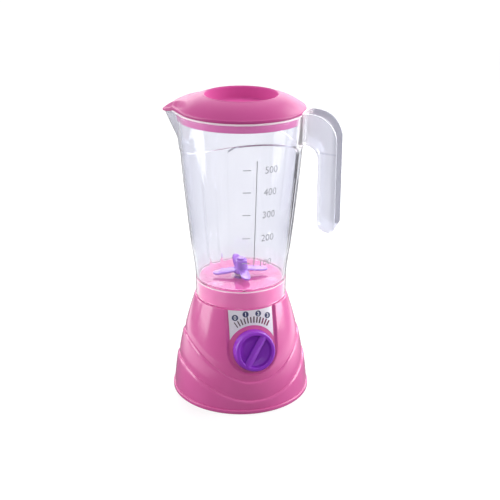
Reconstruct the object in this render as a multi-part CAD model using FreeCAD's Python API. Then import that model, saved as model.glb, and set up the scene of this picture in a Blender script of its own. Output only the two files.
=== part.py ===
"""Toy blender: battery powered base with a speed knob, lift-off clear jug, blade and lid.

Frame: millimetres, +Z up, origin on the resting face below the drive spindle. The knob faces -Y.
Azimuths are measured from -Y towards +X, seen from above.
"""
import FreeCAD, Part
import math
import os

V = FreeCAD.Vector
UP = V(0, 0, 1)
CENTRE = V(0, 0, 0)

# ---- base housing ----
HOUSING_WALL = 2.0
SKIN_FOOT_R = 54.3          # innermost drape layer at the foot
SKIN_WAIST_R = 49.3         # the same layer at the waist height
SKIN_WAIST_Z = 40.0
SHOULDER_R = 38.0           # top of the skin, where the jug seats
SHOULDER_Z = 83.2
UPPER_STEP = 0.9            # how far the middle layer stands proud of the upper one
LOWER_STEP = 1.0            # how far the lowest layer stands proud of the middle one
FLANGE_LIP = 0.8
FLANGE_H = 3.2
UPPER_SWAG_Z = 26.0         # lowest point of the upper drape line, at the front and back
UPPER_SWAG_RISE = 26.0
LOWER_SWAG_Z = 10.5
LOWER_SWAG_RISE = 20.0
BOSS_R = 34.8               # round boss that carries the jug
BOSS_H = 14.0
WELL_R = 7.6                # coupler well in the boss
WELL_DEPTH = 8.0

# ---- bottom cover, battery box and screws ----
COVER_T = 2.4
COVER_GAP = 0.2
POST_AZIMUTHS = (50.0, 160.0, 200.0, 310.0)
POST_PITCH_R = 45.0
POST_R = 3.5
POST_H = 22.0
SCREW_R = 1.3
SCREW_HEAD_R = 2.6
SCREW_HEAD_H = 1.6
SCREW_LENGTH = 11.0
SCREW_RECESS = 0.4
CELL_R = 7.1
CELL_LENGTH = 49.8
CELL_NUB_R = 2.6
CELL_NUB_H = 1.2
CELL_GAP = 0.6
TUB_WALL = 1.5
TUB_FRONT_Y = 4.5
PLATE_T = 0.4
PLATE_W = 9.0
SPRING_H = 5.0
SPRING_WIRE_R = 0.4
SPRING_BASE_R = 4.6
SPRING_TIP_R = 2.6
LEAD_R = 0.7
LEAD_GAP = 0.15
LEAD_RUN = (5.0, 8.0)       # how far the two leads run out to the left of the battery box
LEAD_Z = 21.5
LEAD_TAIL = 3.0             # run of a lead straight behind a stud
LEAD_BEND_SHARE = 0.45      # share of the shorter run beside a bend that its arc takes
TERMINAL_X = 6.0
DOOR_T = 1.6
DOOR_SINK = 0.2             # the door lies this far above the resting plane
DOOR_LEDGE = 2.0
DOOR_GAP = 0.25
DOOR_TAB = 6.5

# ---- motor, gears and spindle ----
BRACKET_Z = 50.0
BRACKET_T = 2.0
BRACKET_HALF_X = 27.0
BRACKET_POST_X = 22.5
BRACKET_POST_R = 3.2
MOTOR_R = 10.0
MOTOR_FLAT = 7.5            # half thickness between the flats of the can
MOTOR_H = 25.0
MOTOR_SHELL = 0.6
MOTOR_CAP_H = 4.0
ARMATURE_R = 5.4
MAGNET_R = 6.0
MOTOR_SHAFT_R = 1.0
CHEEK_T = 1.8
GEAR_MODULE = 0.6
PINION_TEETH = 10
WHEEL_TEETH = 40
GEAR_FACE = 4.0
SPINDLE_R = 2.0
BUSH_WALL = 1.6
RUNNING_GAP = 0.05
END_GAP = 0.3
COUPLER_HEX_R = 3.4         # corner radius of the male hexagon
COUPLER_GAP = 0.25
COUPLER_WALL = 1.8

# ---- control panel, knob and switch ----
PANEL_TILT = 16.0           # lean of the panel's normal above the horizontal
PANEL_RECESS = 1.8
PANEL_HALF_W = 20.6
PANEL_DEPTH = 12.0          # reach of the panel's cuts behind the knob's seat, past the round skin
KNOB_Z = 51.5               # height where the knob axis meets the panel floor
KNOB_R = 16.8
KNOB_TOP_R = 15.7
KNOB_H = 9.0
KNOB_LIFT = 0.5
KNOB_DISH_R = 12.6
KNOB_DISH_DEPTH = 5.6
KNOB_BAR_W = 4.4
KNOB_BAR_H = 0.5            # the grip bar stands this far above the ring
KNOB_POINTER = -32.0        # turn of the grip bar from upright, clockwise is negative
KNOB_SHAFT_R = 3.0
KNOB_SEAT_R = 12.5
SWITCH_R = 10.0
SWITCH_H = 10.0
SWITCH_WALL = 1.4
ROTOR_R = 7.4
ROTOR_H = 2.4
STUD_R = 1.1
STUD_TAIL = 1.5             # how far the studs stand out of the back of the switch
LABEL_T = 0.2
LABEL_HALF_W = 18.0
LABEL_ARC_R = 20.0
LABEL_TOP_GAP = 0.8

# ---- jug ----
JUG_WALL = 1.7
JUG_FLOOR = 1.8
SKIRT_GAP = 0.5             # between the boss and the jug's skirt
SKIRT_LIFT = 0.3            # between the shoulder and the skirt's lower edge
NECK_Z = 101.0
BELLY_R = 40.2
BELLY_Z = 126.0
MID_R = 46.2
MID_Z = 184.0
RIM_R = 50.2
RIM_Z = 237.0
RIM_BEAD = 0.7
RIM_BEAD_H = 2.6
ARCH_STEP = 0.5             # the upper band stands this far proud of the lower wall
ARCH_Z = 220.0
ARCH_DROP = 12.0
SPOUT_AZIMUTH = -120.0
SPOUT_REACH = 63.5
SPOUT_HALF_W = 18.0
SPOUT_DROP = 4.5
SPOUT_ROOT_Z = 206.0
SPOUT_TIP_R = 3.0
HANDLE_AZIMUTH = 60.0
HANDLE_W = 20.0
HANDLE_WALL = 2.0
HANDLE_TOP_Z = 239.0
HANDLE_REACH = 77.0
HANDLE_GRIP = 14.7          # radial depth of the grip
HANDLE_BEND_R = 21.0
HANDLE_ARM_H = 24.0
HANDLE_INNER_BEND_R = 10.5
HANDLE_FOOT_Z = 148.0
HANDLE_FOOT_R = 8.0

# ---- blade ----
BLADE_SHAFT_R = 1.5
FLOOR_BUSH_R = 4.0
FLOOR_BUSH_H = 2.2
HUB_R = 5.6
HUB_H = 10.5
HUB_CAP_R = 3.6
HUB_CAP_H = 1.6
LONG_BLADE_R = 23.0
SHORT_BLADE_R = 17.5
BLADE_W = 8.0
BLADE_T = 1.4
SEAL_WIRE_R = 0.5

# ---- lid ----
LID_PLUG_GAP = 0.5
LID_PLUG_DEPTH = 7.5
LID_WALL = 1.8
LID_RING_PROUD = 0.2        # the lid's ring stands this far beyond the jug's rim
LID_RING_H = 2.4
LID_LIP_R = 28.8
LID_LIP_Z = 249.0
LID_BOWL_R = 27.0
LID_BOWL_DEPTH = 9.0
LID_BOWL_FLOOR_R = 21.0
LID_TIP_OVERHANG = 1.5
LID_GAP = 0.3               # between the lid's ring and the handle

# ---- derived levels and radii ----
BOSS_TOP_Z = SHOULDER_Z + BOSS_H
WELL_FLOOR_Z = BOSS_TOP_Z - WELL_DEPTH
FLANGE_R = SKIN_FOOT_R + UPPER_STEP + LOWER_STEP + FLANGE_LIP
CAVITY_FOOT_R = SKIN_FOOT_R - HOUSING_WALL
CELL_Z = DOOR_SINK + DOOR_T + CELL_GAP / 2 + CELL_R
TUB_HALF_X = CELL_LENGTH / 2 + PLATE_T + SPRING_H / 2
TUB_WIDTH = 4 * CELL_R + 3 * CELL_GAP
TUB_BACK_Y = TUB_FRONT_Y + TUB_WIDTH
TUB_TOP_Z = CELL_Z + CELL_R + CELL_GAP
DOOR_TOP_Z = DOOR_SINK + DOOR_T
MOTOR_Y = GEAR_MODULE * (PINION_TEETH + WHEEL_TEETH) / 2
BRACKET_TOP_Z = BRACKET_Z + BRACKET_T
GEAR_Z = BRACKET_TOP_Z + BUSH_WALL + END_GAP
COUPLER_Z = WELL_FLOOR_Z + END_GAP
COUPLER_TOP_Z = BOSS_TOP_Z - 2 * END_GAP - BUSH_WALL
SKIRT_R = BOSS_R + SKIRT_GAP + JUG_WALL
SKIRT_Z = SHOULDER_Z + SKIRT_LIFT
FLOOR_TOP_Z = BOSS_TOP_Z + JUG_FLOOR
HUB_Z = FLOOR_TOP_Z + FLOOR_BUSH_H + END_GAP
HANDLE_INNER = HANDLE_REACH - HANDLE_GRIP
LID_RING_R = RIM_R + LID_RING_PROUD


# ---- general helpers ----
def arc(a, b, c):
    """Arc edge through three (r, z) points in the XZ plane."""
    points = [V(r, 0, z) for r, z in (a, b, c)]
    return Part.Arc(*points).toShape()


def line(a, b):
    """Straight edge between two (r, z) points in the XZ plane."""
    return Part.LineSegment(V(a[0], 0, a[1]), V(b[0], 0, b[1])).toShape()


def turned(edges):
    """Solid of revolution about Z from a closed run of edges in the XZ plane."""
    return Part.Face(Part.Wire(edges)).revolve(CENTRE, UP, 360)


def turned_points(points):
    """Solid of revolution about Z from (r, z) corners."""
    corners = [V(r, 0, z) for r, z in points]
    return Part.Face(Part.makePolygon(corners + corners[:1])).revolve(CENTRE, UP, 360)


def cylinder(r, z0, z1, x=0.0, y=0.0):
    return Part.makeCylinder(r, z1 - z0, V(x, y, z0))


def tube(r_out, r_in, z0, z1, x=0.0, y=0.0):
    return cylinder(r_out, z0, z1, x, y).cut(cylinder(r_in, z0, z1, x, y))


def block(x0, x1, y0, y1, z0, z1):
    return Part.makeBox(x1 - x0, y1 - y0, z1 - z0, V(x0, y0, z0))


def side_plate(edges, half_width):
    """Plate with the given outline in the XZ plane, centred on it."""
    face = Part.Face(Part.Wire(edges))
    face.translate(V(0, -half_width, 0))
    return face.extrude(V(0, 2 * half_width, 0))


def at_azimuth(shape, azimuth):
    """Turn a shape built towards +X to the given azimuth."""
    return shape.rotate(CENTRE, UP, azimuth - 90.0)


def azimuth_point(radius, azimuth):
    angle = math.radians(azimuth)
    return radius * math.sin(angle), -radius * math.cos(angle)


def circle_through(a, b, c):
    """Centre and radius of the circle through three (r, z) points."""
    circle = arc(a, b, c).Curve
    return circle.Center.x, circle.Center.z, circle.Radius


def hexagon(corner_r, z0, z1):
    corners = [V(corner_r * math.cos(math.radians(60 * i)), corner_r * math.sin(math.radians(60 * i)), z0)
               for i in range(6)]
    return Part.Face(Part.makePolygon(corners + corners[:1])).extrude(V(0, 0, z1 - z0))


# ---- skin of the base ----
def skin_points(offset):
    """Foot, waist and shoulder points of the skin arc, moved outwards by the offset."""
    radii = (SKIN_FOOT_R, SKIN_WAIST_R, SHOULDER_R)
    return tuple((r + offset, z) for r, z in zip(radii, (0.0, SKIN_WAIST_Z, SHOULDER_Z)))


def skin_radius(z, offset=0.0):
    cx, cz, radius = circle_through(*skin_points(offset))
    return cx + math.sqrt(radius ** 2 - (z - cz) ** 2)


def skin_solid(offset):
    """Solid inside the skin arc, moved outwards by the offset."""
    low, mid, high = skin_points(offset)
    top = (0, SHOULDER_Z)
    return turned([line((0, 0), low), arc(low, mid, high), line(high, top), line(top, (0, 0))])


def below_swag(front_z, rise):
    """Space below a drape line, a parabola across X that dips at the front and back."""
    reach = 1.2 * FLANGE_R
    edge_z = front_z + rise * (reach / skin_radius(front_z + rise)) ** 2
    curve = Part.BezierCurve()
    curve.setPoles([V(-reach, 0, edge_z), V(0, 0, 2 * front_z - edge_z), V(reach, 0, edge_z)])
    left, right = (-reach, -1.0), (reach, -1.0)
    edges = [curve.toShape(), line((reach, edge_z), right), line(right, left), line(left, (-reach, edge_z))]
    return side_plate(edges, reach)


# ---- panel frame: x to the right, y up the panel, z outwards along the knob axis ----
PANEL_FLOOR_R = skin_radius(KNOB_Z, -PANEL_RECESS)
PANEL_PLACE = FreeCAD.Placement(V(0, -PANEL_FLOOR_R, KNOB_Z), FreeCAD.Rotation(V(1, 0, 0), 90.0 - PANEL_TILT))


def on_panel(shape):
    moved = shape.copy()
    moved.Placement = PANEL_PLACE.multiply(moved.Placement)
    return moved


def panel_slot(half_width, depth, height):
    """U-shaped prism about the knob axis, open at the top, from -depth to +height."""
    top = SHOULDER_Z
    prism = Part.makeCylinder(half_width, depth + height, V(0, 0, -depth))
    prism = prism.fuse(block(-half_width, half_width, 0, top, -depth, height))
    return on_panel(prism.removeSplitter())


# ---- base pieces ----
def cover_post(azimuth):
    x, y = azimuth_point(POST_PITCH_R, azimuth)
    post = cylinder(POST_R, COVER_T, COVER_T + POST_H, x, y)
    web = at_azimuth(block(POST_PITCH_R, FLANGE_R, -0.8, 0.8, COVER_T, COVER_T + POST_H), azimuth)
    return post.fuse(web)


def bracket_posts():
    return [cylinder(BRACKET_POST_R, BRACKET_TOP_Z, BOSS_TOP_Z - HOUSING_WALL / 2, side * BRACKET_POST_X, 0)
            for side in (-1, 1)]


def base_housing():
    body = skin_solid(0.0)
    body = body.fuse(skin_solid(UPPER_STEP).common(below_swag(UPPER_SWAG_Z, UPPER_SWAG_RISE)))
    body = body.fuse(skin_solid(UPPER_STEP + LOWER_STEP).common(below_swag(LOWER_SWAG_Z, LOWER_SWAG_RISE)))
    body = body.fuse(cylinder(FLANGE_R, 0, FLANGE_H))
    envelope = body
    recess = panel_slot(PANEL_HALF_W, PANEL_DEPTH, FLANGE_R)
    recess = recess.cut(skin_solid(-PANEL_RECESS))
    body = body.cut(recess)
    seat = on_panel(Part.makeCylinder(KNOB_SEAT_R, PANEL_RECESS + END_GAP / 2, V(0, 0, -PANEL_RECESS)))
    body = body.fuse(seat)
    body = body.fuse(cylinder(BOSS_R, SHOULDER_Z - HOUSING_WALL, BOSS_TOP_Z))
    cavity = skin_solid(-HOUSING_WALL).common(cylinder(FLANGE_R, -1, SHOULDER_Z - HOUSING_WALL))
    pad = panel_slot(PANEL_HALF_W + HOUSING_WALL, PANEL_DEPTH, FLANGE_R)
    cavity = cavity.cut(pad.cut(skin_solid(-PANEL_RECESS - HOUSING_WALL)))
    cavity = cavity.fuse(cylinder(BOSS_R - HOUSING_WALL, SHOULDER_Z / 2, BOSS_TOP_Z - HOUSING_WALL))
    switch_pad = on_panel(Part.makeCylinder(SWITCH_R + 1.0, 2 * HOUSING_WALL, V(0, 0, -2 * HOUSING_WALL)))
    body = body.cut(cavity.cut(switch_pad))
    for azimuth in POST_AZIMUTHS:
        body = body.fuse(cover_post(azimuth).common(cavity.common(envelope)))
    for post in bracket_posts():
        body = body.fuse(post)
    well = cylinder(WELL_R + HOUSING_WALL, WELL_FLOOR_Z - HOUSING_WALL, BOSS_TOP_Z - HOUSING_WALL / 2)
    body = body.fuse(well).cut(cylinder(WELL_R, WELL_FLOOR_Z, BOSS_TOP_Z))
    body = body.cut(cylinder(SPINDLE_R + BUSH_WALL, WELL_FLOOR_Z - HOUSING_WALL, WELL_FLOOR_Z))
    hole = Part.makeCylinder(KNOB_SHAFT_R + RUNNING_GAP, 4 * HOUSING_WALL, V(0, 0, -3 * HOUSING_WALL))
    body = body.cut(on_panel(hole))
    for azimuth in POST_AZIMUTHS:
        x, y = azimuth_point(POST_PITCH_R, azimuth)
        body = body.cut(cylinder(SCREW_R, COVER_T, COVER_T + SCREW_LENGTH, x, y))
    for side in (-1, 1):
        x = side * BRACKET_POST_X
        body = body.cut(cylinder(SCREW_R, BRACKET_TOP_Z, BRACKET_TOP_Z + SCREW_LENGTH, x, 0))
    return body.removeSplitter()


def door_outline(gap):
    """Left, right, front and back of the battery door, grown by a gap."""
    left = -TUB_HALF_X - DOOR_LEDGE - gap
    right = TUB_HALF_X + DOOR_LEDGE + DOOR_TAB + gap
    return left, right, TUB_FRONT_Y - DOOR_LEDGE - gap, TUB_BACK_Y + DOOR_LEDGE + gap


def door_screw_point():
    return TUB_HALF_X + DOOR_LEDGE + DOOR_TAB - SCREW_HEAD_R - 1.0, (TUB_FRONT_Y + TUB_BACK_Y) / 2


def bottom_cover():
    body = cylinder(CAVITY_FOOT_R - COVER_GAP, 0, COVER_T)
    tub = block(-TUB_HALF_X - TUB_WALL, TUB_HALF_X + TUB_WALL, TUB_FRONT_Y - TUB_WALL, TUB_BACK_Y + TUB_WALL,
                0, TUB_TOP_Z + TUB_WALL)
    x, y = door_screw_point()
    boss = cylinder(SCREW_HEAD_R, 0, DOOR_TOP_Z + SCREW_LENGTH, x, y)
    body = body.fuse(tub).fuse(boss)
    left, right, front, back = door_outline(DOOR_GAP)
    body = body.cut(block(left, right, front, back, 0, DOOR_TOP_Z))
    body = body.cut(block(-TUB_HALF_X, TUB_HALF_X, TUB_FRONT_Y, TUB_BACK_Y, 0, TUB_TOP_Z))
    body = body.cut(cylinder(SCREW_R + RUNNING_GAP, 0, DOOR_TOP_Z + SCREW_LENGTH - 1.0, x, y))
    for start in (V(-TUB_HALF_X - TUB_WALL, cell_y(index), CELL_Z) for index in range(2)):
        body = body.cut(Part.makeCylinder(LEAD_R + LEAD_GAP, TUB_WALL, start, V(1, 0, 0)))
    for azimuth in POST_AZIMUTHS:
        sx, sy = azimuth_point(POST_PITCH_R, azimuth)
        body = body.cut(cylinder(SCREW_R, 0, COVER_T, sx, sy))
        body = body.cut(cylinder(SCREW_HEAD_R, 0, SCREW_RECESS + SCREW_HEAD_H, sx, sy))
    return body.removeSplitter()


def screw(x, y, head_z, length, head_h=SCREW_HEAD_H):
    """Pan-head screw pointing up, with a cross slot in the head."""
    body = cylinder(SCREW_HEAD_R, head_z, head_z + head_h, x, y)
    body = body.fuse(cylinder(SCREW_R, head_z, head_z + head_h + length, x, y))
    arm, slot = 0.65 * SCREW_HEAD_R, 0.25 * SCREW_HEAD_R
    body = body.cut(block(x - arm, x + arm, y - slot, y + slot, head_z, head_z + head_h / 2))
    return body.cut(block(x - slot, x + slot, y - arm, y + arm, head_z, head_z + head_h / 2))


def cover_screws():
    spots = [azimuth_point(POST_PITCH_R, azimuth) for azimuth in POST_AZIMUTHS]
    return Part.makeCompound([screw(x, y, SCREW_RECESS, SCREW_LENGTH - SCREW_RECESS) for x, y in spots])


def battery_door():
    left, right, front, back = door_outline(0.0)
    body = block(left, right, front, back, DOOR_SINK, DOOR_TOP_Z)
    x, y = door_screw_point()
    body = body.cut(cylinder(SCREW_R, 0, DOOR_TOP_Z, x, y))
    return body.cut(cylinder(SCREW_HEAD_R, 0, DOOR_SINK + DOOR_T / 2, x, y))


def door_screw():
    x, y = door_screw_point()
    return screw(x, y, DOOR_SINK, SCREW_LENGTH - SCREW_HEAD_H, DOOR_T / 2)


def cell_y(index):
    return TUB_FRONT_Y + CELL_GAP + CELL_R + index * (2 * CELL_R + CELL_GAP)


def cell_left(index):
    """Left end of a cell: the spring is on the left of the first cell and the right of the second."""
    return -TUB_HALF_X + PLATE_T + (SPRING_H if index == 0 else 0.0)


def battery_cell(index):
    start = V(cell_left(index), cell_y(index), CELL_Z)
    case = Part.makeCylinder(CELL_R, CELL_LENGTH - CELL_NUB_H, start, V(1, 0, 0))
    nub = Part.makeCylinder(CELL_NUB_R, CELL_LENGTH, start, V(1, 0, 0))
    body = case.fuse(nub)
    if index == 1:
        middle = V(start.x + CELL_LENGTH / 2, start.y, start.z)
        body = body.rotate(middle, UP, 180)
    return body


def contact_spring(index):
    """Conical compression spring between a cell and its plate."""
    turns = math.ceil(SPRING_H / (1.6 * SPRING_WIRE_R))
    pitch = (SPRING_H - 2 * SPRING_WIRE_R) / (turns - 1)
    way = 1 if index == 0 else -1
    start = -way * (TUB_HALF_X - PLATE_T - SPRING_WIRE_R)
    body = None
    for turn in range(turns):
        radius = SPRING_BASE_R + (SPRING_TIP_R - SPRING_BASE_R) * turn / (turns - 1)
        centre = V(start + way * turn * pitch, cell_y(index), CELL_Z)
        ring = Part.makeTorus(radius, SPRING_WIRE_R, centre, V(1, 0, 0))
        body = ring if body is None else body.fuse(ring)
    inner = TUB_HALF_X - PLATE_T
    return body.common(block(-inner, inner, TUB_FRONT_Y, TUB_BACK_Y, DOOR_TOP_Z, TUB_TOP_Z))


def contact_plates():
    """One bridge plate on the right, and two single plates on the left."""
    half = PLATE_W / 2
    low, high = CELL_Z - half, CELL_Z + half
    plates = [block(TUB_HALF_X - PLATE_T, TUB_HALF_X, cell_y(0) - half, cell_y(1) + half, low, high)]
    for y in (cell_y(0), cell_y(1)):
        plates.append(block(-TUB_HALF_X, -TUB_HALF_X + PLATE_T, y - half, y + half, low, high))
    return Part.makeCompound(plates)


def bend(before, corner, after):
    """Arc that rounds a corner of a route, as wide as the two runs beside it allow."""
    way_in, way_out = (corner - before).normalize(), (after - corner).normalize()
    half_turn = way_in.getAngle(way_out) / 2
    setback = LEAD_BEND_SHARE * min((corner - before).Length, (after - corner).Length)
    depth = setback * (1 / math.sin(half_turn) - 1 / math.tan(half_turn))
    middle = corner + (way_out - way_in).normalize() * depth
    return Part.Arc(corner - way_in * setback, middle, corner + way_out * setback).toShape()


def lead(points):
    """Insulated lead along straight runs joined by arcs."""
    edges, here = [], points[0]
    for before, corner, after in zip(points, points[1:], points[2:]):
        turn = bend(before, corner, after)
        edges += [Part.LineSegment(here, turn.firstVertex(True).Point).toShape(), turn]
        here = turn.lastVertex(True).Point
    edges.append(Part.LineSegment(here, points[-1]).toShape())
    ring = Part.Wire(Part.makeCircle(LEAD_R, points[0], points[1] - points[0]))
    return Part.Wire(edges).makePipeShell([ring], True, False)


def battery_lead(index, points):
    """Lead that leaves the battery box through its left end and runs on through the given points."""
    start = V(-TUB_HALF_X, cell_y(index), CELL_Z)
    side = V(-TUB_HALF_X - LEAD_RUN[index], cell_y(index), CELL_Z)
    return lead([start, side] + points)


def lead_black():
    """Minus lead, from the front cell's spring plate to the motor."""
    side_x = -TUB_HALF_X - LEAD_RUN[0]
    return battery_lead(0, [V(side_x, cell_y(0), LEAD_Z), V(-TERMINAL_X, MOTOR_Y, LEAD_Z),
                            V(-TERMINAL_X, MOTOR_Y, BRACKET_Z - MOTOR_H)])


def lead_red():
    """Plus lead, from the rear cell's plate to the switch's last stud."""
    side_x = -TUB_HALF_X - LEAD_RUN[1]
    behind = stud_end(3, LEAD_TAIL)
    return battery_lead(1, [V(side_x, cell_y(1), LEAD_Z + 6), behind + V(-6, 9, -3), behind, stud_end(3)])


def lead_blue():
    """Lead from the switch's first stud to the motor."""
    behind = stud_end(0, LEAD_TAIL)
    return lead([stud_end(0), behind, behind + V(7, 9, -5), V(MOTOR_R + 4, MOTOR_Y, LEAD_Z),
                 V(TERMINAL_X, MOTOR_Y, LEAD_Z), V(TERMINAL_X, MOTOR_Y, BRACKET_Z - MOTOR_H)])


# ---- motor and gears ----
def motor_outline(inset, z0, z1):
    flat = MOTOR_FLAT - inset
    radius = MOTOR_R - inset
    sides = block(-radius, radius, MOTOR_Y - flat, MOTOR_Y + flat, z0, z1)
    return cylinder(radius, z0, z1, 0, MOTOR_Y).common(sides)


def motor_can():
    bottom = BRACKET_Z - MOTOR_H + MOTOR_CAP_H
    body = motor_outline(0, bottom, BRACKET_Z)
    body = body.cut(motor_outline(MOTOR_SHELL, bottom, BRACKET_Z - MOTOR_SHELL))
    return body.cut(cylinder(MOTOR_SHAFT_R + RUNNING_GAP, bottom, BRACKET_Z, 0, MOTOR_Y))


def motor_end_cap():
    bottom = BRACKET_Z - MOTOR_H
    body = motor_outline(0, bottom, bottom + MOTOR_CAP_H)
    return body.cut(cylinder(MOTOR_SHAFT_R + RUNNING_GAP, bottom, bottom + MOTOR_CAP_H, 0, MOTOR_Y))


def motor_magnets():
    z0 = BRACKET_Z - MOTOR_H + MOTOR_CAP_H + 2.0
    z1 = BRACKET_Z - 3.0
    ring = motor_outline(MOTOR_SHELL, z0, z1).cut(cylinder(MAGNET_R, z0, z1, 0, MOTOR_Y))
    gap = block(-MAGNET_R / 2, MAGNET_R / 2, MOTOR_Y - MOTOR_R, MOTOR_Y + MOTOR_R, z0, z1)
    return ring.cut(gap)


def motor_armature():
    z0 = BRACKET_Z - MOTOR_H + MOTOR_CAP_H + 2.0
    z1 = BRACKET_Z - 4.0
    body = cylinder(ARMATURE_R, z0, z1, 0, MOTOR_Y)
    for index in range(3):
        slot = block(ARMATURE_R / 2, ARMATURE_R + 1, -0.5, 0.5, z0, z1)
        slot.rotate(CENTRE, UP, 120 * index)
        slot.translate(V(0, MOTOR_Y, 0))
        body = body.cut(slot)
    return body.cut(cylinder(MOTOR_SHAFT_R, z0, z1, 0, MOTOR_Y))


def motor_shaft():
    return cylinder(MOTOR_SHAFT_R, BRACKET_Z - MOTOR_H - 1.0, GEAR_Z + GEAR_FACE + 1.0, 0, MOTOR_Y)


def gear(teeth, z0, z1, bore_r, turn):
    """Spur gear about Z with straight-sided teeth; a tooth lies at the given turn from +X."""
    pitch_r = GEAR_MODULE * teeth / 2
    root_r, tip_r = pitch_r - 1.15 * GEAR_MODULE, pitch_r + 0.8 * GEAR_MODULE
    pitch = 2 * math.pi / teeth
    corners = []
    for index in range(teeth):
        middle = math.radians(turn) + index * pitch
        for radius, part in ((root_r, -0.30), (tip_r, -0.11), (tip_r, 0.11), (root_r, 0.30)):
            angle = middle + part * pitch
            corners.append(V(radius * math.cos(angle), radius * math.sin(angle), z0))
    body = Part.Face(Part.makePolygon(corners + corners[:1])).extrude(V(0, 0, z1 - z0))
    return body.cut(cylinder(bore_r, z0, z1))


def motor_pinion():
    """The gap of the pinion faces the wheel's tooth on the line of centres."""
    body = gear(PINION_TEETH, GEAR_Z, GEAR_Z + GEAR_FACE + END_GAP, MOTOR_SHAFT_R, -90 + 180 / PINION_TEETH)
    body.translate(V(0, MOTOR_Y, 0))
    return body


def spindle_gear():
    body = gear(WHEEL_TEETH, GEAR_Z, GEAR_Z + GEAR_FACE, SPINDLE_R, 90)
    web = tube(GEAR_MODULE * WHEEL_TEETH / 2 - 2.4, SPINDLE_R + 2.4, GEAR_Z + 2.4, GEAR_Z + GEAR_FACE)
    return body.cut(web)


def motor_bracket():
    body = block(-BRACKET_HALF_X, BRACKET_HALF_X, -BRACKET_POST_R - 2.0, MOTOR_Y + MOTOR_FLAT + CHEEK_T,
                 BRACKET_Z, BRACKET_TOP_Z)
    for way in (-1, 1):
        y0, y1 = sorted((MOTOR_Y + way * MOTOR_FLAT, MOTOR_Y + way * (MOTOR_FLAT + CHEEK_T)))
        body = body.fuse(block(-MOTOR_FLAT, MOTOR_FLAT, y0, y1, BRACKET_Z - 0.6 * MOTOR_H, BRACKET_Z))
    body = body.cut(cylinder(SPINDLE_R + BUSH_WALL, BRACKET_Z, BRACKET_TOP_Z))
    body = body.cut(cylinder(3 * MOTOR_SHAFT_R, BRACKET_Z, BRACKET_TOP_Z, 0, MOTOR_Y))
    for side in (-1, 1):
        body = body.cut(cylinder(SCREW_R, BRACKET_Z, BRACKET_TOP_Z, side * BRACKET_POST_X, 0))
    return body


def bracket_screws():
    head_z, length = BRACKET_Z - SCREW_HEAD_H, BRACKET_T + SCREW_LENGTH - 3.0
    return Part.makeCompound([screw(side * BRACKET_POST_X, 0, head_z, length) for side in (-1, 1)])


def bush(z0, z1, flange_z0, flange_z1):
    """Plain flanged bush for the spindle."""
    body = cylinder(SPINDLE_R + BUSH_WALL, z0, z1)
    body = body.fuse(cylinder(SPINDLE_R + 2 * BUSH_WALL, flange_z0, flange_z1))
    low, high = min(z0, flange_z0), max(z1, flange_z1)
    return body.cut(cylinder(SPINDLE_R + RUNNING_GAP, low, high))


def lower_bush():
    return bush(BRACKET_Z, BRACKET_TOP_Z, BRACKET_TOP_Z, BRACKET_TOP_Z + BUSH_WALL)


def upper_bush():
    under = WELL_FLOOR_Z - HOUSING_WALL
    return bush(under, WELL_FLOOR_Z, under - BUSH_WALL, under)


def drive_spindle():
    return cylinder(SPINDLE_R, BRACKET_Z, COUPLER_TOP_Z - 1.0)


def drive_coupler():
    """Male hexagon that turns the jug's driven coupler."""
    body = hexagon(COUPLER_HEX_R, COUPLER_Z, COUPLER_TOP_Z)
    return body.cut(cylinder(SPINDLE_R, COUPLER_Z, COUPLER_TOP_Z - 1.0))


# ---- panel pieces ----
def dial_label():
    shell = skin_solid(LABEL_T - PANEL_RECESS).cut(skin_solid(-PANEL_RECESS))
    outline = block(-LABEL_HALF_W, LABEL_HALF_W, 0, SHOULDER_Z, -PANEL_DEPTH, PANEL_DEPTH)
    outline = outline.cut(cylinder(LABEL_ARC_R, -PANEL_DEPTH, PANEL_DEPTH))
    label = shell.common(on_panel(outline))
    return label.common(cylinder(FLANGE_R, 0, SHOULDER_Z - LABEL_TOP_GAP))


def knob():
    low, top = KNOB_LIFT, KNOB_LIFT + KNOB_H
    dish_low = top - KNOB_DISH_DEPTH
    round_over = 0.8
    side, crown = (KNOB_TOP_R, top - round_over), (KNOB_TOP_R - round_over, top)
    corner = (KNOB_TOP_R - 0.3, top - 0.25)
    edges = [line((0, low), (KNOB_R, low)), line((KNOB_R, low), (KNOB_R, low + 1.2)),
             line((KNOB_R, low + 1.2), side), arc(side, corner, crown),
             line((KNOB_TOP_R - round_over, top), (KNOB_DISH_R + 0.6, top)),
             line((KNOB_DISH_R + 0.6, top), (KNOB_DISH_R, top - 0.8)),
             arc((KNOB_DISH_R, top - 0.8), (0.62 * KNOB_DISH_R, dish_low + 1.2), (0, dish_low)),
             line((0, dish_low), (0, low))]
    body = turned(edges)
    half = KNOB_BAR_W / 2
    bar = block(-half, half, -KNOB_TOP_R + 1.6, KNOB_TOP_R - 1.6, low + 1.0, top + KNOB_BAR_H)
    bar.rotate(CENTRE, UP, KNOB_POINTER)
    body = body.fuse(bar)
    hollow = tube(KNOB_R - 2.2, KNOB_SHAFT_R + 2.2, low, low + 1.2)
    body = body.cut(hollow).cut(cylinder(KNOB_SHAFT_R, low, dish_low - 1.0))
    return on_panel(body.removeSplitter())


def switch_levels():
    """Front and back of the switch case along the knob axis."""
    front = -2 * HOUSING_WALL
    return front, front - SWITCH_H


def knob_shaft():
    front, back = switch_levels()
    return on_panel(cylinder(KNOB_SHAFT_R, back, KNOB_LIFT + KNOB_H - KNOB_DISH_DEPTH - 1.0))


def switch_body():
    front, back = switch_levels()
    body = cylinder(SWITCH_R, back, front)
    body = body.cut(cylinder(SWITCH_R - SWITCH_WALL, back + SWITCH_WALL, front - SWITCH_WALL))
    for index in range(4):
        body = body.cut(cylinder(STUD_R, back, back + SWITCH_WALL, *stud_place(index)))
    return on_panel(body.cut(cylinder(KNOB_SHAFT_R + RUNNING_GAP, back, front)))


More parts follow.
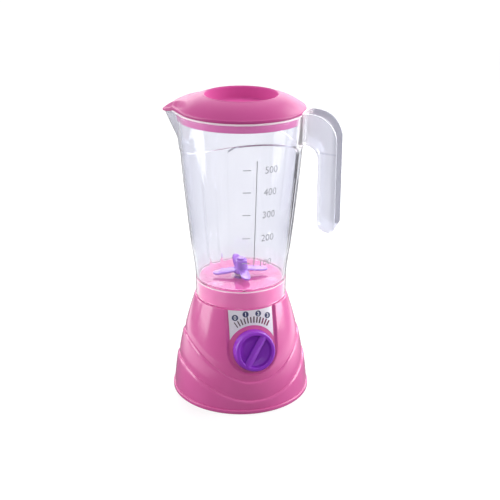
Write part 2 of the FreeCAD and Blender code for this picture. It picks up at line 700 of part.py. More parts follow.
def switch_rotor():
    front, back = switch_levels()
    z1 = front - SWITCH_WALL - END_GAP
    body = tube(ROTOR_R, KNOB_SHAFT_R, z1 - ROTOR_H, z1)
    return on_panel(body)


def stud_place(index):
    """Position of a switch stud across the knob axis."""
    angle = math.radians(36 + 36 * index)
    return 0.62 * SWITCH_R * math.cos(angle), -0.62 * SWITCH_R * math.sin(angle)


def stud_end(index, behind=0.0):
    """Centre of a stud's rear end, where a lead is soldered, or a point behind it."""
    x, y = stud_place(index)
    return PANEL_PLACE.multVec(V(x, y, switch_levels()[1] - STUD_TAIL - behind))


def switch_contacts():
    """Four studs through the back of the switch case, one for each setting."""
    front, back = switch_levels()
    reach = front - SWITCH_WALL - 2 * END_GAP - ROTOR_H
    studs = [cylinder(STUD_R, back - STUD_TAIL, reach, *stud_place(index)) for index in range(4)]
    return Part.makeCompound([on_panel(stud) for stud in studs])


# ---- jug ----
def jug_profile(offset, low_z, top_z):
    """Edges of the jug's wall from a low level up to the rim, closed on the axis."""
    neck, belly, mid = (SKIRT_R + offset, NECK_Z), (BELLY_R + offset, BELLY_Z), (MID_R + offset, MID_Z)
    rim = (RIM_R + offset, RIM_Z)
    flare = ((SKIRT_R + BELLY_R) / 2 + offset - 0.35, (NECK_Z + BELLY_Z) / 2)
    low, top, over = (SKIRT_R + offset, low_z), (RIM_R + offset, top_z), (0, top_z)
    edges = [line((0, low_z), low), line(low, neck), arc(neck, flare, belly), arc(belly, mid, rim)]
    if top_z > RIM_Z:
        edges.append(line(rim, top))
    return edges + [line(top, over), line(over, (0, low_z))]


def above_arch():
    """Space above the arched line that divides the upper band from the lower wall."""
    reach = 1.3 * RIM_R
    edge_z = ARCH_Z - ARCH_DROP * (reach / MID_R) ** 2
    curve = Part.BezierCurve()
    curve.setPoles([V(-reach, 0, edge_z), V(0, 0, 2 * ARCH_Z - edge_z), V(reach, 0, edge_z)])
    left, right = (-reach, RIM_Z), (reach, RIM_Z)
    edges = [curve.toShape(), line((reach, edge_z), right), line(right, left), line(left, (-reach, edge_z))]
    return side_plate(edges, reach)


def spout_outline(tip_u, half_w, root_u, tip_r, z):
    """Closed wire of the spout's plan: a triangle with a rounded tip."""
    angle = math.atan2(half_w, tip_u - root_u)
    centre_u = tip_u - tip_r
    touch = V(centre_u + tip_r * math.sin(angle), tip_r * math.cos(angle), z)
    other = V(touch.x, -touch.y, z)
    root_a, root_b = V(root_u, half_w, z), V(root_u, -half_w, z)
    nose = Part.Arc(touch, V(tip_u, 0, z), other).toShape()
    return Part.Wire([Part.LineSegment(root_a, touch).toShape(), nose,
                      Part.LineSegment(other, root_b).toShape(), Part.LineSegment(root_b, root_a).toShape()])


def spout(wall, top_z):
    """Solid of the spout, drawn in by a wall thickness."""
    root_u = MID_R - 4.0
    reach, half_w = SPOUT_REACH - 1.4 * wall, SPOUT_HALF_W - wall
    high = spout_outline(reach, half_w, root_u, SPOUT_TIP_R - 0.5 * wall, top_z)
    low = spout_outline(MID_R + 1.6 - 1.4 * wall, 4.0 - wall, root_u - 1.0, 1.0, SPOUT_ROOT_Z + 2 * wall)
    return at_azimuth(Part.makeLoft([low, high], True, True), SPOUT_AZIMUTH)


def spout_slope_cut():
    """Space above the rim where it slopes down towards the tip of the spout."""
    start, end = RIM_R, SPOUT_REACH + 4.0
    drop = SPOUT_DROP * (end - start) / (SPOUT_REACH - start)
    corners = [(start, RIM_Z), (end, RIM_Z - drop), (end, RIM_Z + 20), (start, RIM_Z + 20)]
    edges = [line(corners[i], corners[(i + 1) % 4]) for i in range(4)]
    return at_azimuth(side_plate(edges, RIM_R), SPOUT_AZIMUTH)


def quarter(centre, radius, start, end):
    """Arc about a centre from one angle to another, in degrees from +r towards +z."""
    angles = [math.radians(a) for a in (start, (start + end) / 2, end)]
    return arc(*[(centre[0] + radius * math.cos(a), centre[1] + radius * math.sin(a)) for a in angles])


def handle_outline(inset):
    """Grip outline in the handle's plane. An inset keeps the web's thickness and opens the outer side."""
    root_u = RIM_R - 4.0
    inner = HANDLE_INNER + inset
    elbow_r = HANDLE_INNER_BEND_R + inset
    elbow = (HANDLE_INNER - HANDLE_INNER_BEND_R, HANDLE_TOP_Z - HANDLE_ARM_H - HANDLE_INNER_BEND_R)
    toe_r = HANDLE_FOOT_R - inset
    toe = (HANDLE_INNER + HANDLE_FOOT_R, HANDLE_FOOT_Z + HANDLE_FOOT_R)
    foot_z = HANDLE_FOOT_Z + inset
    return root_u, inner, elbow_r, elbow, toe_r, toe, foot_z


def handle():
    root_u, inner, elbow_r, elbow, toe_r, toe, foot_z = handle_outline(0.0)
    bend = (HANDLE_REACH - HANDLE_BEND_R, HANDLE_TOP_Z - HANDLE_BEND_R)
    heel_r = 3.0
    heel = (HANDLE_REACH - heel_r, foot_z + heel_r)
    arm_z = elbow[1] + elbow_r
    edges = [line((root_u, HANDLE_TOP_Z), (bend[0], HANDLE_TOP_Z)), quarter(bend, HANDLE_BEND_R, 90, 0),
             line((HANDLE_REACH, bend[1]), (HANDLE_REACH, heel[1])), quarter(heel, heel_r, 0, -90),
             line((heel[0], foot_z), (toe[0], foot_z)), quarter(toe, toe_r, 270, 180),
             line((inner, toe[1]), (inner, elbow[1])), quarter(elbow, elbow_r, 0, 90),
             line((elbow[0], arm_z), (root_u, arm_z)), line((root_u, arm_z), (root_u, HANDLE_TOP_Z))]
    body = side_plate(edges, HANDLE_W / 2)
    root_u, inner, elbow_r, elbow, toe_r, toe, foot_z = handle_outline(HANDLE_WALL)
    root_u = RIM_R + HANDLE_WALL
    arm_z = elbow[1] + elbow_r
    far, high = HANDLE_REACH + 5.0, HANDLE_TOP_Z + 5.0
    elbow_start = math.degrees(math.acos(min(1.0, (root_u - elbow[0]) / elbow_r)))
    start_z = elbow[1] + elbow_r * math.sin(math.radians(elbow_start))
    edges = [line((root_u, high), (far, high)), line((far, high), (far, foot_z)),
             line((far, foot_z), (toe[0], foot_z)), quarter(toe, toe_r, 270, 180),
             line((inner, toe[1]), (inner, elbow[1])),
             quarter(elbow, elbow_r, 0, elbow_start), line((root_u, start_z), (root_u, high))]
    body = body.cut(side_plate(edges, HANDLE_W / 2 - HANDLE_WALL))
    return at_azimuth(body, HANDLE_AZIMUTH)


def jug_outside():
    """Solid inside the jug's outer surface, without its spout and handle."""
    body = turned(jug_profile(0.0, SKIRT_Z, RIM_Z))
    body = body.fuse(turned(jug_profile(ARCH_STEP, SKIRT_Z, RIM_Z)).common(above_arch()))
    return body.fuse(cylinder(RIM_R + RIM_BEAD, RIM_Z - RIM_BEAD_H, RIM_Z))


def jug():
    body = jug_outside().fuse(spout(0.0, RIM_Z))
    body = body.cut(turned(jug_profile(-JUG_WALL, FLOOR_TOP_Z, RIM_Z + JUG_WALL)))
    body = body.cut(spout(JUG_WALL, RIM_Z + 1.0))
    body = body.cut(spout_slope_cut())
    body = body.cut(cylinder(BOSS_R + SKIRT_GAP, SKIRT_Z, BOSS_TOP_Z))
    collar = cylinder(FLOOR_BUSH_R, BOSS_TOP_Z, FLOOR_TOP_Z + FLOOR_BUSH_H)
    body = body.fuse(collar).cut(cylinder(BLADE_SHAFT_R + BUSH_WALL / 2, BOSS_TOP_Z, FLOOR_TOP_Z + FLOOR_BUSH_H))
    return body.removeSplitter()


def jug_handle():
    """Handle of the same moulding, ending at the jug's wall."""
    body = handle().cut(cylinder(LID_RING_R + LID_GAP, RIM_Z, HANDLE_TOP_Z))
    return body.cut(jug_outside())


def floor_bush():
    """Bearing sleeve for the blade shaft in the jug's floor."""
    return tube(BLADE_SHAFT_R + BUSH_WALL / 2, BLADE_SHAFT_R + RUNNING_GAP, BOSS_TOP_Z, FLOOR_TOP_Z + FLOOR_BUSH_H)


def shaft_seal():
    """Seal ring round the collar, lying on the jug's floor."""
    return Part.makeTorus(FLOOR_BUSH_R + SEAL_WIRE_R, SEAL_WIRE_R, V(0, 0, FLOOR_TOP_Z + SEAL_WIRE_R))


# ---- blade ----
def blade_strip(length, tip_drop, azimuth):
    """One blade: a tapering strip that bends up or down towards its tip."""
    root_z = HUB_Z + 1.2
    bend_u = 0.45 * length
    tip_z = root_z - tip_drop
    low = [(HUB_R / 2, root_z), (bend_u, root_z - 0.15 * tip_drop), (length, tip_z)]
    high = [(u, z + BLADE_T) for u, z in reversed(low)]
    corners = low + high
    edges = [line(corners[i], corners[(i + 1) % 6]) for i in range(6)]
    strip = side_plate(edges, BLADE_W / 2)
    plan = [V(0, -0.5 * BLADE_W, 0), V(bend_u, -0.5 * BLADE_W, 0), V(length, 0.05 * BLADE_W, 0),
            V(length, 0.3 * BLADE_W, 0), V(bend_u, 0.5 * BLADE_W, 0), V(0, 0.5 * BLADE_W, 0)]
    outline = Part.Face(Part.makePolygon(plan + plan[:1])).extrude(V(0, 0, RIM_Z))
    return at_azimuth(strip.common(outline), azimuth)


def blade_impeller():
    body = turned_points([(0, HUB_Z), (HUB_R, HUB_Z), (0.86 * HUB_R, HUB_Z + HUB_H - 1.0),
                          (0.72 * HUB_R, HUB_Z + HUB_H), (0, HUB_Z + HUB_H)])
    body = body.fuse(cylinder(HUB_CAP_R, HUB_Z + HUB_H - 1.0, HUB_Z + HUB_H + HUB_CAP_H))
    for length, tip_drop, azimuth in ((LONG_BLADE_R, 2.4, -90.0), (LONG_BLADE_R, 2.4, 90.0),
                                      (SHORT_BLADE_R, 2.6, 0.0), (SHORT_BLADE_R, -5.0, 180.0)):
        body = body.fuse(blade_strip(length, tip_drop, azimuth))
    body = body.removeSplitter()
    return body.cut(cylinder(BLADE_SHAFT_R, HUB_Z, HUB_Z + HUB_H - 2.0))


def blade_shaft():
    return cylinder(BLADE_SHAFT_R, COUPLER_TOP_Z + END_GAP, HUB_Z + HUB_H - 2.0)


def driven_coupler():
    """Cup below the jug's floor with a hexagonal socket."""
    outer_r = COUPLER_HEX_R + COUPLER_GAP + COUPLER_WALL
    top = BOSS_TOP_Z - END_GAP
    body = cylinder(outer_r, COUPLER_Z + 1.0, top)
    body = body.cut(hexagon(COUPLER_HEX_R + COUPLER_GAP, COUPLER_Z + 1.0, COUPLER_TOP_Z + END_GAP))
    return body.cut(cylinder(BLADE_SHAFT_R, COUPLER_TOP_Z + END_GAP, top))


# ---- lid ----
def lid():
    plug_r = RIM_R - JUG_WALL - LID_PLUG_GAP - (RIM_R - MID_R) * LID_PLUG_DEPTH / (RIM_Z - MID_Z)
    ring_z = RIM_Z + LID_RING_H
    bowl_z = LID_LIP_Z - LID_BOWL_DEPTH
    shoulder_r = LID_RING_R - 0.8
    dome_mid = ((shoulder_r + LID_LIP_R) / 2 + 0.6, (ring_z + LID_LIP_Z) / 2 + 1.2)
    under_mid = (dome_mid[0] - 0.7, dome_mid[1] - LID_WALL)
    plug_low = RIM_Z - LID_PLUG_DEPTH
    edges = [line((0, bowl_z - LID_WALL), (LID_BOWL_FLOOR_R, bowl_z - LID_WALL)),
             line((LID_BOWL_FLOOR_R, bowl_z - LID_WALL), (LID_LIP_R + 0.4, LID_LIP_Z - LID_WALL - 0.6)),
             arc((LID_LIP_R + 0.4, LID_LIP_Z - LID_WALL - 0.6), under_mid, (plug_r - LID_WALL, RIM_Z + 0.6)),
             line((plug_r - LID_WALL, RIM_Z + 0.6), (plug_r - LID_WALL, plug_low)),
             line((plug_r - LID_WALL, plug_low), (plug_r, plug_low)), line((plug_r, plug_low), (plug_r, RIM_Z)),
             line((plug_r, RIM_Z), (LID_RING_R, RIM_Z)), line((LID_RING_R, RIM_Z), (LID_RING_R, ring_z)),
             line((LID_RING_R, ring_z), (shoulder_r, ring_z)),
             arc((shoulder_r, ring_z), dome_mid, (LID_LIP_R, LID_LIP_Z)),
             line((LID_LIP_R, LID_LIP_Z), (LID_BOWL_R, LID_LIP_Z)),
             line((LID_BOWL_R, LID_LIP_Z), (LID_BOWL_FLOOR_R, bowl_z)),
             line((LID_BOWL_FLOOR_R, bowl_z), (0, bowl_z)), line((0, bowl_z), (0, bowl_z - LID_WALL))]
    return turned(edges).fuse(spout_cover(plug_r)).removeSplitter()


def spout_cover(plug_r):
    """Tongue of the lid that covers the spout, sloping with its rim."""
    start, end = RIM_R, SPOUT_REACH + LID_TIP_OVERHANG
    slope = SPOUT_DROP / (SPOUT_REACH - RIM_R)
    low_end = RIM_Z - slope * (end - start)
    corners = [(plug_r - LID_WALL, RIM_Z), (start, RIM_Z), (end, low_end), (end, low_end + LID_RING_H),
               (start, RIM_Z + LID_RING_H + 1.0), (plug_r - LID_WALL, RIM_Z + LID_RING_H + 1.0)]
    edges = [line(corners[i], corners[(i + 1) % 6]) for i in range(6)]
    tongue = side_plate(edges, SPOUT_HALF_W + LID_TIP_OVERHANG)
    plan = spout_outline(end, SPOUT_HALF_W + LID_TIP_OVERHANG, MID_R - 4.0, SPOUT_TIP_R + 1.0, 0.0)
    tongue = tongue.common(Part.Face(plan).extrude(V(0, 0, 2 * RIM_Z)))
    return at_azimuth(tongue, SPOUT_AZIMUTH)


PIECES = {
    "base_housing": base_housing,
    "bottom_cover": bottom_cover,
    "cover_screws": cover_screws,
    "battery_door": battery_door,
    "door_screw": door_screw,
    "battery_cell_1": lambda: battery_cell(0),
    "battery_cell_2": lambda: battery_cell(1),
    "contact_springs": lambda: Part.makeCompound([contact_spring(0), contact_spring(1)]),
    "contact_plates": contact_plates,
    "lead_black": lead_black,
    "lead_red": lead_red,
    "lead_blue": lead_blue,
    "motor_bracket": motor_bracket,
    "bracket_screws": bracket_screws,
    "motor_can": motor_can,
    "motor_end_cap": motor_end_cap,
    "motor_magnets": motor_magnets,
    "motor_armature": motor_armature,
    "motor_shaft": motor_shaft,
    "motor_pinion": motor_pinion,
    "lower_bush": lower_bush,
    "upper_bush": upper_bush,
    "drive_spindle": drive_spindle,
    "spindle_gear": spindle_gear,
    "drive_coupler": drive_coupler,
    "dial_label": dial_label,
    "knob": knob,
    "knob_shaft": knob_shaft,
    "switch_body": switch_body,
    "switch_rotor": switch_rotor,
    "switch_contacts": switch_contacts,
    "jug": jug,
    "jug_handle": jug_handle,
    "floor_bush": floor_bush,
    "shaft_seal": shaft_seal,
    "blade_impeller": blade_impeller,
    "blade_shaft": blade_shaft,
    "driven_coupler": driven_coupler,
    "lid": lid,
}

os.makedirs("parts", exist_ok=True)
for name, make in PIECES.items():
    shape = make()
    shape.exportStep("parts/" + name + ".step")
    print(name, "solids", len(shape.Solids), "valid", shape.isValid(), "volume", round(shape.Volume, 1))
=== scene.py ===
"""Toy blender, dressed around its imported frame. Sizes are in millimetres where MM turns them into metres."""
import bpy
import math
from mathutils import Matrix, Vector


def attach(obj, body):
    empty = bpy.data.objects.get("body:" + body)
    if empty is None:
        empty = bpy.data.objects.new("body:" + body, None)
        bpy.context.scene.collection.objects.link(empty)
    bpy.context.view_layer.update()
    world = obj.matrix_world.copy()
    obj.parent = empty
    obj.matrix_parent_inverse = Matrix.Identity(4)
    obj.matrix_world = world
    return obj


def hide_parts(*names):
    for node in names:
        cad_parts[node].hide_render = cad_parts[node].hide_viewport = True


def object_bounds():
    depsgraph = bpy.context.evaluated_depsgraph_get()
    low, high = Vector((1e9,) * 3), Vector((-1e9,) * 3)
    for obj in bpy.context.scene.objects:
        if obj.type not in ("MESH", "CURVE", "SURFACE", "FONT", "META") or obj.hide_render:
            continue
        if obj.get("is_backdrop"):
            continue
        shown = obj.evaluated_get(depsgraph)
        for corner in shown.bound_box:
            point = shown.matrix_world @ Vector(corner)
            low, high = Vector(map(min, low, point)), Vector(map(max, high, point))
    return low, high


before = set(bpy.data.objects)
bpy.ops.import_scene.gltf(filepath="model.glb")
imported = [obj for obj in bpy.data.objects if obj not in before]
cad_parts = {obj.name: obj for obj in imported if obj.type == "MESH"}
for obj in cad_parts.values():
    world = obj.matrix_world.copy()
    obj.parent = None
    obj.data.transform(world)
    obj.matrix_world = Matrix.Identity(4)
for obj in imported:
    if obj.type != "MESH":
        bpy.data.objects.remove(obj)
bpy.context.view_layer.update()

# ---- Base shell ----
# Housing of the toy, moulded in one piece of pink plastic: a flared skin with two draped layers round
# its foot, a sunk panel for the knob, and a round boss on top that carries the jug.
MM = 0.001


def fresh():
    """Leave nothing selected, so that the next operator works on the new piece alone."""
    bpy.ops.object.select_all(action="DESELECT")


def only(piece):
    """Select one piece and make it the active one."""
    fresh()
    piece.select_set(True)
    bpy.context.view_layer.objects.active = piece


def closed(piece):
    """Merge a piece's doubled points and turn its faces outwards."""
    only(piece)
    bpy.ops.object.mode_set(mode="EDIT")
    bpy.ops.mesh.select_all(action="SELECT")
    bpy.ops.mesh.remove_doubles(threshold=0.004 * MM)
    bpy.ops.mesh.normals_make_consistent(inside=False)
    bpy.ops.object.mode_set(mode="OBJECT")


def handed_over(piece, body, material):
    """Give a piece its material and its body."""
    piece.data.materials.clear()
    piece.data.materials.append(material)
    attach(piece, body)


def finished(piece, body, material, replaced):
    """Close and smooth a piece and hand it over in the place of the frame's own nodes."""
    closed(piece)
    bpy.ops.object.transform_apply(location=True, rotation=True, scale=True)
    bpy.ops.object.shade_smooth_by_angle(angle=math.radians(32))
    handed_over(piece, body, material)
    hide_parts(*replaced)


def ringed(name, columns, rows, place):
    """A sheet rolled into rings, whose points go where place(column, row) puts them, in millimetres."""
    fresh()
    bpy.ops.mesh.primitive_grid_add(x_subdivisions=columns, y_subdivisions=rows - 1, size=2)
    piece = bpy.context.object
    piece.name = piece.data.name = name
    for point in piece.data.vertices:
        column = round((point.co.x + 1) / 2 * columns) % columns
        row = round((point.co.y + 1) / 2 * (rows - 1))
        point.co = Vector(place(column, row)) * MM
    closed(piece)
    return piece


def turns_round(columns, pull=0.0, azimuth=0.0):
    """Azimuths once round, pulled closer together towards one of them."""
    turns = [math.tau * i / columns for i in range(columns)]
    return [turn - pull * math.sin(turn - azimuth) for turn in turns]


def turned(name, turns, profile):
    """A piece turned round the upright axis, with its own closed (r, z) outline at each azimuth."""
    outlines = [profile(turn) for turn in turns]

    def place(column, row):
        r, z = outlines[column][row]
        return r * math.sin(turns[column]), -r * math.cos(turns[column]), z

    return ringed(name, len(turns), len(outlines[0]), place)


def through(z, low, mid, high):
    """Radius at height z on the circle through three (r, z) points."""
    (ra, za), (rb, zb), (rc, zc) = low, mid, high
    d = 2 * (ra * (zb - zc) + rb * (zc - za) + rc * (za - zb))
    sa, sb, sc = ra * ra + za * za, rb * rb + zb * zb, rc * rc + zc * zc
    centre_r = (sa * (zb - zc) + sb * (zc - za) + sc * (za - zb)) / d
    centre_z = (sa * (rc - rb) + sb * (ra - rc) + sc * (rb - ra)) / d
    side = math.copysign(1, rb - centre_r)
    return centre_r + side * math.sqrt((ra - centre_r) ** 2 + (za - centre_z) ** 2 - (z - centre_z) ** 2)


def eased(t):
    """Smooth step from 0 to 1."""
    t = min(1.0, max(0.0, t))
    return t * t * (3 - 2 * t)


def between(start, end, count):
    """Evenly spaced numbers, both ends among them."""
    return [start + (end - start) * i / (count - 1) for i in range(count)]


def rounded(corners, steps=6):
    """Points along a run of (x, y, radius) corners, each turned with its radius."""
    run = []
    for i, (x, y, radius) in enumerate(corners):
        if radius == 0:
            run.append((x, y))
            continue
        here = Vector((x, y))
        before = (Vector(corners[i - 1][:2]) - here).normalized()
        after = (Vector(corners[(i + 1) % len(corners)][:2]) - here).normalized()
        half = before.angle(after) / 2
        centre = here + (before + after).normalized() * radius / math.sin(half)
        start, end = (here + way * radius / math.tan(half) - centre for way in (before, after))
        run += [tuple(centre + start.lerp(end, t).normalized() * radius) for t in between(0, 1, steps)]
    return run


cavity_r, cavity_z, flange_r, flange_z = 52.3, 2.4, 57.0, 3.2
shoulder_z, boss_z, boss_r, shell_wall = 83.2, 97.2, 34.8, 2.0
coupler_r, coupler_z, bush_r, bush_z, pocket_r = 7.6, 89.2, 3.6, 87.2, 9.6
low_drape, high_drape, roll = (10.5, 20.0), (26.0, 26.0), 2.6
panel_z, panel_tilt, panel_half, panel_sunk = 51.5, math.radians(16), 20.6, 1.8
seat_r, seat_out = 13.0, 0.15


def skin(z):
    """Radius of the innermost layer of the base."""
    return through(z, (54.3, 0), (49.3, 40), (38.0, shoulder_z))


panel_r = skin(panel_z) - panel_sunk


def on_panel(x, y, out=0.0):
    """Point of the panel: x to the right, y up it, out along the knob's axis."""
    s, c = math.sin(panel_tilt), math.cos(panel_tilt)
    return Vector((x, -panel_r + y * s - out * c, panel_z + y * c + out * s))


def panel_xy(point):
    """The panel's own x and y of a point."""
    s, c = math.sin(panel_tilt), math.cos(panel_tilt)
    return point[0], (point[1] + panel_r) * s + (point[2] - panel_z) * c


def drape_line(azimuth, front_z, rise):
    """Height of a layer's upper edge, lowest at the front and back."""
    waist, z = skin(front_z + rise), front_z
    for _ in range(8):
        z = front_z + rise * (skin(z) * math.sin(azimuth) / waist) ** 2
    return z


def sunk(azimuth, z, grow=0.0):
    """1 in the panel's recess and 0 outside it, with a soft edge."""
    r = skin(z)
    x, y = panel_xy((r * math.sin(azimuth), -r * math.cos(azimuth), z))
    edge = (abs(x) if y > 0 else math.hypot(x, y)) - panel_half - grow
    return eased((0.5 - edge) / 1.7) if math.cos(azimuth) > 0 else 0.0


def seat(azimuth, z, r):
    """The flat seat of the knob, raised out of the round panel."""
    x, y = panel_xy((r * math.sin(azimuth), -r * math.cos(azimuth), z))
    if math.cos(azimuth) < 0.7 or math.hypot(x, y) > seat_r:
        return r
    s, c = math.sin(panel_tilt), math.cos(panel_tilt)
    flat = (panel_r + (seat_out - (z - panel_z) * s) / c) / math.cos(azimuth)
    k = eased((seat_r - math.hypot(x, y)) / 0.5)
    return max(r, r * (1 - k) + flat * k)


def base_profile(azimuth):
    """The moulding's closed outline at an azimuth, as (r, z) points."""
    low_line, high_line = drape_line(azimuth, *low_drape), drape_line(azimuth, *high_drape)

    def outer(z, out):
        s = sunk(azimuth, z)
        r = (1 - s) * (skin(z) + out) + s * (skin(z) - panel_sunk)
        return seat(azimuth, z, r), z

    def layer(z0, z1, count, out, step, valley=0.0):
        """A layer from z0 up to its rounded edge at z1, which stands a step proud of the next one."""
        rows = []
        for z in between(z0, z1 - roll, count):
            rows.append(outer(z, out - valley * (1 - eased((z - z0) / 6.0))))
        for t in (0.2, 0.4, 0.58, 0.72, 0.84, 0.92, 0.97, 1.0):
            rows.append(outer(z1 - roll + roll * t, out - step + step * math.sqrt(1 - t * t)))
        return rows

    # The foot's flange, the two draped layers, and the innermost skin up to the shoulder.
    points = rounded([(cavity_r, cavity_z, 0), (cavity_r, 0, 0.5), (flange_r, 0, 0.5),
                      (flange_r, flange_z, 0.6), (flange_r - 1.1, flange_z, 0)], 4)
    points += layer(flange_z + 0.2, low_line, count=12, out=1.9, step=1.35)
    points += layer(low_line + 0.15, high_line, count=18, out=0.9, step=1.25, valley=0.35)
    for z in between(high_line + 0.15, shoulder_z - 1.1, 96):
        points.append(outer(z, -0.35 * (1 - eased((z - high_line) / 6.0))))
    # Over the shoulder and the boss, through the couplers' hole, and back under the boss.
    edge_r = outer(shoulder_z, 0.0)[0]
    bore_r, ceiling_z = boss_r - shell_wall, boss_z - shell_wall
    points += rounded([(edge_r + 0.2, shoulder_z - 0.9, 0), (edge_r, shoulder_z, 0.8),
                       (boss_r, shoulder_z, 0.35), (boss_r, boss_z, 1.3), (20, boss_z, 0),
                       (coupler_r, boss_z, 0.7), (coupler_r, coupler_z, 0.4), (bush_r, coupler_z, 0),
                       (bush_r, bush_z, 0), (pocket_r, bush_z, 0), (pocket_r, ceiling_z, 0),
                       (bore_r, ceiling_z, 0), (bore_r, shoulder_z - shell_wall, 0)], 6)[1:]
    # Down inside the skin, which stays as thick behind the panel.
    for z in between(shoulder_z - shell_wall - 0.4, cavity_z + 0.2, 24):
        points.append((skin(z) - shell_wall - panel_sunk * sunk(azimuth, z, 2.0), z))
    return points + [(cavity_r, cavity_z)]


def fed(socket, value):
    """Give a socket a plain value, a colour or the output of another node."""
    if isinstance(value, bpy.types.NodeSocket):
        socket.id_data.links.new(value, socket)
    else:
        socket.default_value = (*value, 1) if socket.type == "RGBA" else value


def shader(name):
    """A material with its Principled node and its Object coordinates at hand."""
    material = bpy.data.materials.new(name)
    material.use_nodes = True
    place = material.node_tree.nodes.new("ShaderNodeTexCoord")
    return material, material.node_tree.nodes["Principled BSDF"], place.outputs["Object"]


def noise(place, scale, detail=3.0):
    """Noise over the piece, its scale in cells per metre."""
    node = place.id_data.nodes.new("ShaderNodeTexNoise")
    fed(node.inputs["Scale"], scale)
    fed(node.inputs["Detail"], detail)
    fed(node.inputs["Vector"], place)
    return node.outputs["Fac"]


def stepped(value, start, end, low=0.0, high=1.0, smooth=False):
    """Low where the value is before start, high where it is past end, and between them on the way."""
    node = value.id_data.nodes.new("ShaderNodeMapRange")
    node.interpolation_type = "SMOOTHSTEP" if smooth else "LINEAR"
    for name, number in zip(("From Min", "From Max", "To Min", "To Max"), (start, end, low, high)):
        fed(node.inputs[name], number)
    fed(node.inputs["Value"], value)
    return node.outputs["Result"]


def spread(value, low, high):
    """The middle of a noise stretched from low to high."""
    return stepped(value, 0.2, 0.8, low, high, smooth=True)


def blended(value, first, second):
    """Colour or plain number that goes from the first to the second with a value."""
    node = value.id_data.nodes.new("ShaderNodeMix")
    plain = isinstance(second, float)
    node.data_type = "FLOAT" if plain else "RGBA"
    fed(node.inputs[0], value)
    fed(node.inputs[2 if plain else 6], first)
    fed(node.inputs[3 if plain else 7], second)
    return node.outputs[0 if plain else 2]


def worked(operation, *values):
    """Numbers put together by a Math node."""
    tree = next(value for value in values if isinstance(value, bpy.types.NodeSocket)).id_data
    node = tree.nodes.new("ShaderNodeMath")
    node.operation = operation
    for socket, value in zip(node.inputs, values):
        fed(socket, value)
    return node.outputs["Value"]


def placed(operation, place, other=(0, 0, 0)):
    """A place put together with another by a Vector Math node, to a new place or to a plain number."""
    node = place.id_data.nodes.new("ShaderNodeVectorMath")
    node.operation = operation
    fed(node.inputs[0], place)
    fed(node.inputs[1], other)
    return node.outputs["Vector" if operation == "MULTIPLY" else "Value"]


def reach_along(place, x, y, z=0.0):
    """Distance of a surface point from the origin in a direction."""
    return placed("DOT_PRODUCT", place, (x, y, z))


def grain(bsdf, height, strength, depth=0.0001):
    """Bump from a height, in metres."""
    node = bsdf.id_data.nodes.new("ShaderNodeBump")
    fed(node.inputs["Strength"], strength)
    fed(node.inputs["Distance"], depth)
    fed(node.inputs["Height"], height)
    fed(bsdf.inputs["Normal"], node.outputs["Normal"])


def moulded(name, colour, shade, gloss, coat=0.35, fine=1100):
    """Moulded plastic: slow drift between two close colours, uneven gloss, and the mould's fine grain."""
    material, bsdf, place = shader(name)
    fed(bsdf.inputs["Base Color"], blended(spread(noise(place, 38, 1), 0, 1), colour, shade))
    fed(bsdf.inputs["Roughness"], spread(noise(place, 160, 1), gloss - 0.03, gloss + 0.04))
    fed(bsdf.inputs["IOR"], 1.49)
    fed(bsdf.inputs["Coat Weight"], coat)
    fed(bsdf.inputs["Coat Roughness"], 0.12)
    grain(bsdf, noise(place, fine, 1), 0.015)
    return material, bsdf, place


def drawn_from(bsdf, name):
    """What is linked to a socket of the shader so far."""
    return bsdf.inputs[name].links[0].from_socket


pink, pink_bsdf, pink_place = moulded(
    "pink_moulding", (0.62, 0.105, 0.33), (0.585, 0.094, 0.305), 0.215, coat=0.5)

# The boss above the shoulder is painted a stronger pink than the skin, as painted light for what reaches it
# through the jug. Two pale round discs are painted on it, over the screw posts inside.
boss_painted_light = stepped(reach_along(pink_place, 0, 0, 1), shoulder_z * MM, (shoulder_z + 0.4) * MM)
pale_discs = worked("MAXIMUM", *(
    stepped(placed("DISTANCE", pink_place, spot), 4.0 * MM, 5.0 * MM, 1.0, 0.0, smooth=True)
    for spot in ((0.02305, -0.01315, boss_z * MM), (-0.02131, -0.01409, boss_z * MM))))
pink_colour = blended(boss_painted_light, drawn_from(pink_bsdf, "Base Color"), (0.76, 0.115, 0.42))
fed(pink_bsdf.inputs["Base Color"], blended(pale_discs, pink_colour, (0.88, 0.34, 0.60)))

base_shell = turned("base_shell", turns_round(360, 0.62), base_profile)
finished(base_shell, "base", pink, ["base_housing"])

# ---- Dial label ----
# Silver foil label stuck on the panel's floor, cut round the knob, with the speed numbers in dark discs
# and a fan of ticks that grow wider towards the fastest speed.
label_half, label_top_z, label_cut_r = 17.9, 82.3, 20.0


def on_floor(x, y, lift):
    """Point of the panel's round floor, straight out from the panel's x and y."""
    point, out = on_panel(x, y), 0.0
    for _ in range(6):
        out += skin(point.z) - panel_sunk + lift - math.hypot(point.x, point.y)
        point = on_panel(x, y, out)
    return point


def label_low(x):
    """Height on the panel of the label's lower edge, which runs round the knob."""
    return math.sqrt(label_cut_r ** 2 - x * x)


def label_high(x):
    """Height on the panel of the label's upper edge, level with the shoulder."""
    y = 32.0
    for _ in range(12):
        y += (label_top_z - on_floor(x, y, 0).z) * 0.9
    return y


